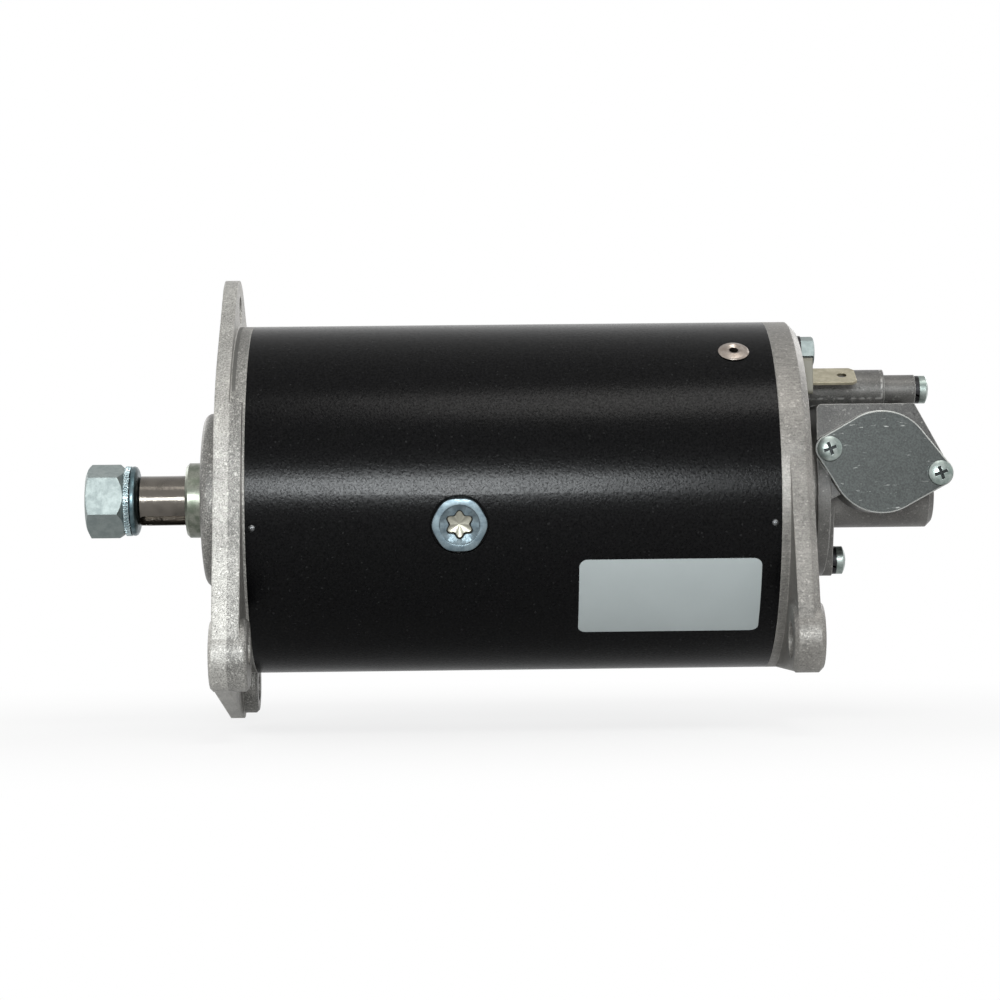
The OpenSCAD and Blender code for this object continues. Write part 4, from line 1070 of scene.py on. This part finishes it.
@dataclass
class ArmatureGroup(Group):
    """The turning assembly from the shaft nut to the worm, with its toothed lock washer."""

    FINISHES = {
        "armature_shaft": SHAFT_STEEL,
        "armature_core": CORE_STACK,
        "armature_windings": COPPER_WIRE,
        "commutator_hub": FIBRE_BOARD,
        "commutator_bars": COPPER_BARS,
        "thrust_washer": FIBRE_BOARD,
        "pulley_spacer": YELLOW_ZINC,
        "shaft_lock_washer": SPRING_ZINC,
        "shaft_nut": BLUE_ZINC,
        "tacho_worm": GROUND_STEEL,
    }

    washer_from: float = lowest("shaft_lock_washer", Axis.X)
    teeth_to: float = -16.3
    washer_to: float = highest("shaft_lock_washer", Axis.X)
    washer_radius: float = 10.25
    washer_bore: float = 6.05
    teeth: int = 56
    tooth_depth: float = 0.45
    tooth_slant: float = 0.35
    tooth_share: float = 0.55
    tooth_steps: int = 5
    backing_sides: int = 96

    def shapes(self) -> None:
        """Makes the lock washer."""
        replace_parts(self.toothed_ring(), "shaft_lock_washer")
        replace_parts(self.backing_ring(), "shaft_lock_washer")

    def toothed_ring(self) -> bpy.types.Object:
        """The outer ring under the nut, with slanted teeth cut round its edge."""
        steps, low, high = self.tooth_steps, self.washer_from, self.teeth_to
        rim, bore = self.washer_radius, self.washer_bore
        profile = [
            (low, bore, 0.0),
            (low, rim - 0.7, 0.0),
            *[(low + 0.25 + (high - low - 0.35) * i / steps, rim, i / steps) for i in range(steps + 1)],
            (high, rim - 0.7, 0.0),
            (high, bore, 0.0),
            (low, bore, 0.0),
        ]
        around = self.teeth * 6
        points: list[Point] = []
        for x, radius, along in profile:
            for i in range(around):
                turn = i / around
                tooth = (turn * self.teeth + along * self.tooth_slant) % 1.0
                cut = self.tooth_depth if radius == rim and tooth > self.tooth_share else 0.0
                points.append((x, *turned(radius - cut, turn)))
        faces = rings_to_faces(len(profile), around)
        return shape("toothed_lock_ring", points, faces, TOOTH_ZINC, "armature")

    def backing_ring(self) -> bpy.types.Object:
        """The darker ring behind the teeth, rounded down to the shaft's shoulder."""
        low, high, rim, bore = self.teeth_to, self.washer_to, self.washer_radius, self.washer_bore
        profile = [
            (low, bore),
            (low, rim - 0.8),
            (low + 0.25, rim - 0.1),
            (low + 0.9, rim),
            (high - 0.8, rim - 0.25),
            (high - 0.35, rim - 1.0),
            (high, rim - 2.4),
            (high, bore),
            (low, bore),
        ]
        around = self.backing_sides
        points = [(x, *turned(radius, i / around)) for x, radius in profile for i in range(around)]
        faces = rings_to_faces(len(profile), around)
        return shape("lock_backing_ring", points, faces, SPRING_ZINC, "armature")


@dataclass
class CommutatorEndGroup(Group):
    """The commutator end bracket with the brush gear and terminals."""

    FINISHES = {
        "commutator_end_bracket": COMMUTATOR_END_CAST,
        "commutator_end_bush": OILED_BRONZE,
        "brush_holders": BRASS_SHEET,
        "holder_packings": FIBRE_BOARD,
        "holder_rivets": DULL_STEEL,
        "spring_posts": DULL_STEEL,
        "near_brush": CARBON,
        "far_brush": CARBON,
        "near_brush_spring": BLUED_SPRING,
        "far_brush_spring": BLUED_SPRING,
        "terminal_blocks": TERMINAL_MOULD,
        "output_terminal": TIN_PLATE,
        "field_terminal": TIN_PLATE,
        "through_bolts": BLUE_ZINC,
        "through_bolt_washers": BLACK_SPRING,
    }


@dataclass
class RevCounterGroup(Group):
    """The right-angle drive with its cover, screws and threaded cable union."""

    FINISHES = {
        "tacho_housing": HOUSING_CAST,
        "tacho_cover": COVER_PLATE,
        "cover_gasket": GASKET_PAPER,
        "cover_screws": SCREW_ZINC,
        "long_housing_screw": SCREW_ZINC,
        "short_housing_screw": SCREW_ZINC,
        "housing_screw_washers": BLACK_SPRING,
        "tacho_gear": NYLON,
        "tacho_spindle": SPINDLE_STEEL,
        "spindle_bush": CROSS_BRONZE,
    }

    axis_x: float = middle("cable_union", Axis.X)
    axis_z: float = middle("cable_union", Axis.Z)
    union_from: float = lowest("cable_union", Axis.Y)
    union_to: float = highest("cable_union", Axis.Y)
    collar_radius: float = highest("cable_union", Axis.Z) - middle("cable_union", Axis.Z)
    collar_width: float = 2.0
    crest_radius: float = 9.0
    root_radius: float = 8.3
    bore_radius: float = 5.2
    thread_pitch: float = 1.5
    run_out: float = 0.8
    union_sides: int = 72

    def shapes(self) -> None:
        """Cuts the union's thread."""
        self.threaded_union()

    def threaded_union(self) -> None:
        """The cable union with a real thread, its bore and its chamfered mouth."""
        around = self.union_sides
        collar, root, bore = self.collar_radius, self.root_radius, self.bore_radius
        start = self.union_from + self.collar_width
        low, high = start + self.run_out, self.union_to - 0.9
        steps = 8 * round((self.union_to - start - 1.6) / self.thread_pitch)
        plain_from = [
            (self.union_from, bore),
            (self.union_from, collar - 0.4),
            (self.union_from + 0.4, collar),
            (start - 0.4, collar),
            (start, collar - 0.4),
            (start, root),
            (start + 0.6, root),
        ]
        plain_to = [
            (self.union_to, root - 0.2),
            (self.union_to, bore + 0.5),
            (self.union_to - 0.5, bore),
            (self.union_from, bore),
        ]
        rings = [[row] * around for row in plain_from]
        for y in (low + (high - low) * i / steps for i in range(steps + 1)):
            rings.append([(y, self.thread_radius(y, i / around, low, high)) for i in range(around)])
        rings += [[row] * around for row in plain_to]
        points: list[Point] = []
        for ring in rings:
            for i, (y, radius) in enumerate(ring):
                across, up = turned(radius, i / around)
                points.append((self.axis_x + across, y, self.axis_z + up))
        faces = rings_to_faces(len(rings), around)
        union = shape("threaded_cable_union", points, faces, UNION_STEEL, "stator")
        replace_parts(union, "cable_union")

    def thread_radius(self, y: float, turn: float, low: float, high: float) -> float:
        """Radius of the union's thread.

        Args:
            y: Place along the union.
            turn: Place round it, from 0 to 1.
            low: Where the thread starts.
            high: Where it ends.

        Returns:
            The radius, run out to the root at both ends.
        """
        phase = (y / self.thread_pitch + turn) % 1.0
        crest = max(0.0, min(1.0, 1.75 - abs(phase - 0.5) * 4.0))
        fade = min(1.0, (y - low) / self.run_out, (high - y) / self.run_out)
        return self.root_radius + (self.crest_radius - self.root_radius) * crest * max(0.0, fade)


@dataclass(frozen=True)
class Lamp:
    """One soft lamp aimed at the object, placed by degrees from the camera's side and above the horizon."""

    name: str
    azimuth: float
    power: float
    elevation: float = 22.0
    distance: float = 1100.0
    width: float = 500.0
    height: float = 500.0
    colour: Colour = WHITE

    def build(self, target: Vector) -> None:
        """Hangs the lamp.

        Args:
            target: What it is aimed at, in millimetres.
        """
        azimuth, elevation = math.radians(self.azimuth), math.radians(self.elevation)
        level = math.cos(elevation)
        away = Vector((math.sin(azimuth) * level, -math.cos(azimuth) * level, math.sin(elevation)))
        data = bpy.data.lights.new(self.name, "AREA")
        data.shape = "RECTANGLE"
        data.size = self.width * MM
        data.size_y = self.height * MM
        data.energy = self.power
        data.color = self.colour
        lamp = bpy.data.objects.new(self.name, data)
        facing = away.to_track_quat("Z", "Y").to_matrix().to_4x4()
        lamp.matrix_world = Matrix.Translation((target + away * self.distance) * MM) @ facing
        lamp.visible_camera = False
        bpy.context.scene.collection.objects.link(lamp)


@dataclass
class Studio:
    """The camera of the photograph, soft lamps, and a pale floor."""

    LAMPS: ClassVar[tuple[Lamp, ...]] = (
        Lamp(
            "front_panel",
            azimuth=-2.3,
            power=9.8,
            elevation=8.5,
            distance=1150.0,
            width=290.0,
            height=190.0,
            colour=(0.94, 0.98, 1.0),
        ),
        Lamp(
            "top_panel",
            azimuth=22.0,
            power=2.6,
            elevation=62.0,
            distance=1000.0,
            height=300.0,
            colour=(1.0, 0.98, 0.95),
        ),
        Lamp("right_fill", azimuth=78.0, power=1.6),
        Lamp("left_fill", azimuth=-80.0, power=1.6),
        Lamp("rear_right_fill", azimuth=138.0, power=2.4),
        Lamp("rear_left_fill", azimuth=-138.0, power=2.4),
    )

    target: Point = (91.8, 0.0, -0.8)
    distance: float = 781.0
    azimuth: float = 1.0
    roll: float = 0.61
    view_angle: float = 21.38
    floor_z: float = -66.5
    floor_reach: float = 6.0
    ambient: float = 0.18
    shadow: float = 0.2
    shadow_in_gloss: float = 0.6
    shadow_reach: float = 190.0

    def build(self) -> None:
        """Makes the camera, the lamps, the world and the floor."""
        self.camera()
        for lamp in self.LAMPS:
            lamp.build(Vector(self.target))
        self.world()
        self.floor()
        bpy.context.scene.view_settings.view_transform = "Standard"

    def camera(self) -> None:
        """The camera at the photograph's viewing angle, with its slight roll."""
        turn = math.radians(self.azimuth)
        roll = math.radians(self.roll)
        forward = Vector((math.sin(turn), math.cos(turn), 0.0))
        level = Vector((math.cos(turn), -math.sin(turn), 0.0))
        upright = Vector((0.0, 0.0, 1.0))
        right = level * math.cos(roll) - upright * math.sin(roll)
        up = level * math.sin(roll) + upright * math.cos(roll)
        place = Vector(self.target) * MM - forward * self.distance * MM
        data = bpy.data.cameras.new("portrait_camera")
        data.sensor_fit = "HORIZONTAL"
        data.angle = math.radians(self.view_angle)
        data.clip_start = 0.01
        data.clip_end = 50.0
        camera = bpy.data.objects.new("portrait_camera", data)
        camera.matrix_world = Matrix.Translation(place) @ Matrix((right, up, -forward)).transposed().to_4x4()
        bpy.context.scene.collection.objects.link(camera)
        bpy.context.scene.camera = camera

    def world(self) -> None:
        """White to the camera and in reflections, and a plain soft light on the object."""
        world = bpy.data.worlds.new("studio_world")
        bpy.context.scene.world = world
        graph = Graph(world)
        light = graph.node("ShaderNodeBackground", None, {"Color": (*WHITE, 1.0), "Strength": self.ambient})
        white = graph.node("ShaderNodeBackground", None, {"Color": (*WHITE, 1.0), "Strength": 1.0})
        shown = graph.node("ShaderNodeMixShader", None, {0: graph.background_rays(), 1: light, 2: white})
        graph.node("ShaderNodeOutputWorld", None, {"Surface": shown})

    def floor(self) -> None:
        """A plain pale floor under the object, with a painted shadow around it, deeper in reflections."""
        reach = self.floor_reach
        material = bpy.data.materials.new("pale_floor")
        graph = Graph(material)
        paint = graph.mixed(graph.noise(size=300.0, detail=1.0), (0.86, 0.86, 0.86), (0.88, 0.88, 0.88))
        lit = graph.node("ShaderNodeBsdfDiffuse", None, {"Color": paint})
        white = graph.node("ShaderNodeEmission", None, {"Color": (*WHITE, 1.0), "Strength": 1.0})
        # Painted shadow: near the object less white shows, so the lit floor with its real shadow comes
        # through, more so in reflections.
        near = graph.distance(self.target, (0.55, 1.0, 0.0)).between(self.shadow_reach, 20.0)
        depth = graph.ray("Is Glossy Ray") * self.shadow_in_gloss + self.shadow
        share = graph.background_rays() * (1.0 - near * depth)
        shown = graph.node("ShaderNodeMixShader", None, {0: share, 1: lit, 2: white})
        graph.node("ShaderNodeOutputMaterial", None, {"Surface": shown})
        mesh = bpy.data.meshes.new("pale_floor")
        corners = ((-reach, -reach), (reach, -reach), (reach, reach), (-reach, reach))
        mesh.from_pydata([(x, y, self.floor_z * MM) for x, y in corners], [], [(0, 1, 2, 3)])
        mesh.materials.append(material)
        floor = bpy.data.objects.new("pale_floor", mesh)
        bpy.context.scene.collection.objects.link(floor)


def main() -> None:
    """Builds the studio and the five sub-assemblies in order."""
    logging.basicConfig(level=logging.INFO, format="%(name)s: %(message)s")
    Studio().build()
    for group in (YokeGroup(), DriveEndGroup(), ArmatureGroup(), CommutatorEndGroup(), RevCounterGroup()):
        group.build()
        LOG.info("finished %s", type(group).__name__)


if __name__ == "__main__":
    main()
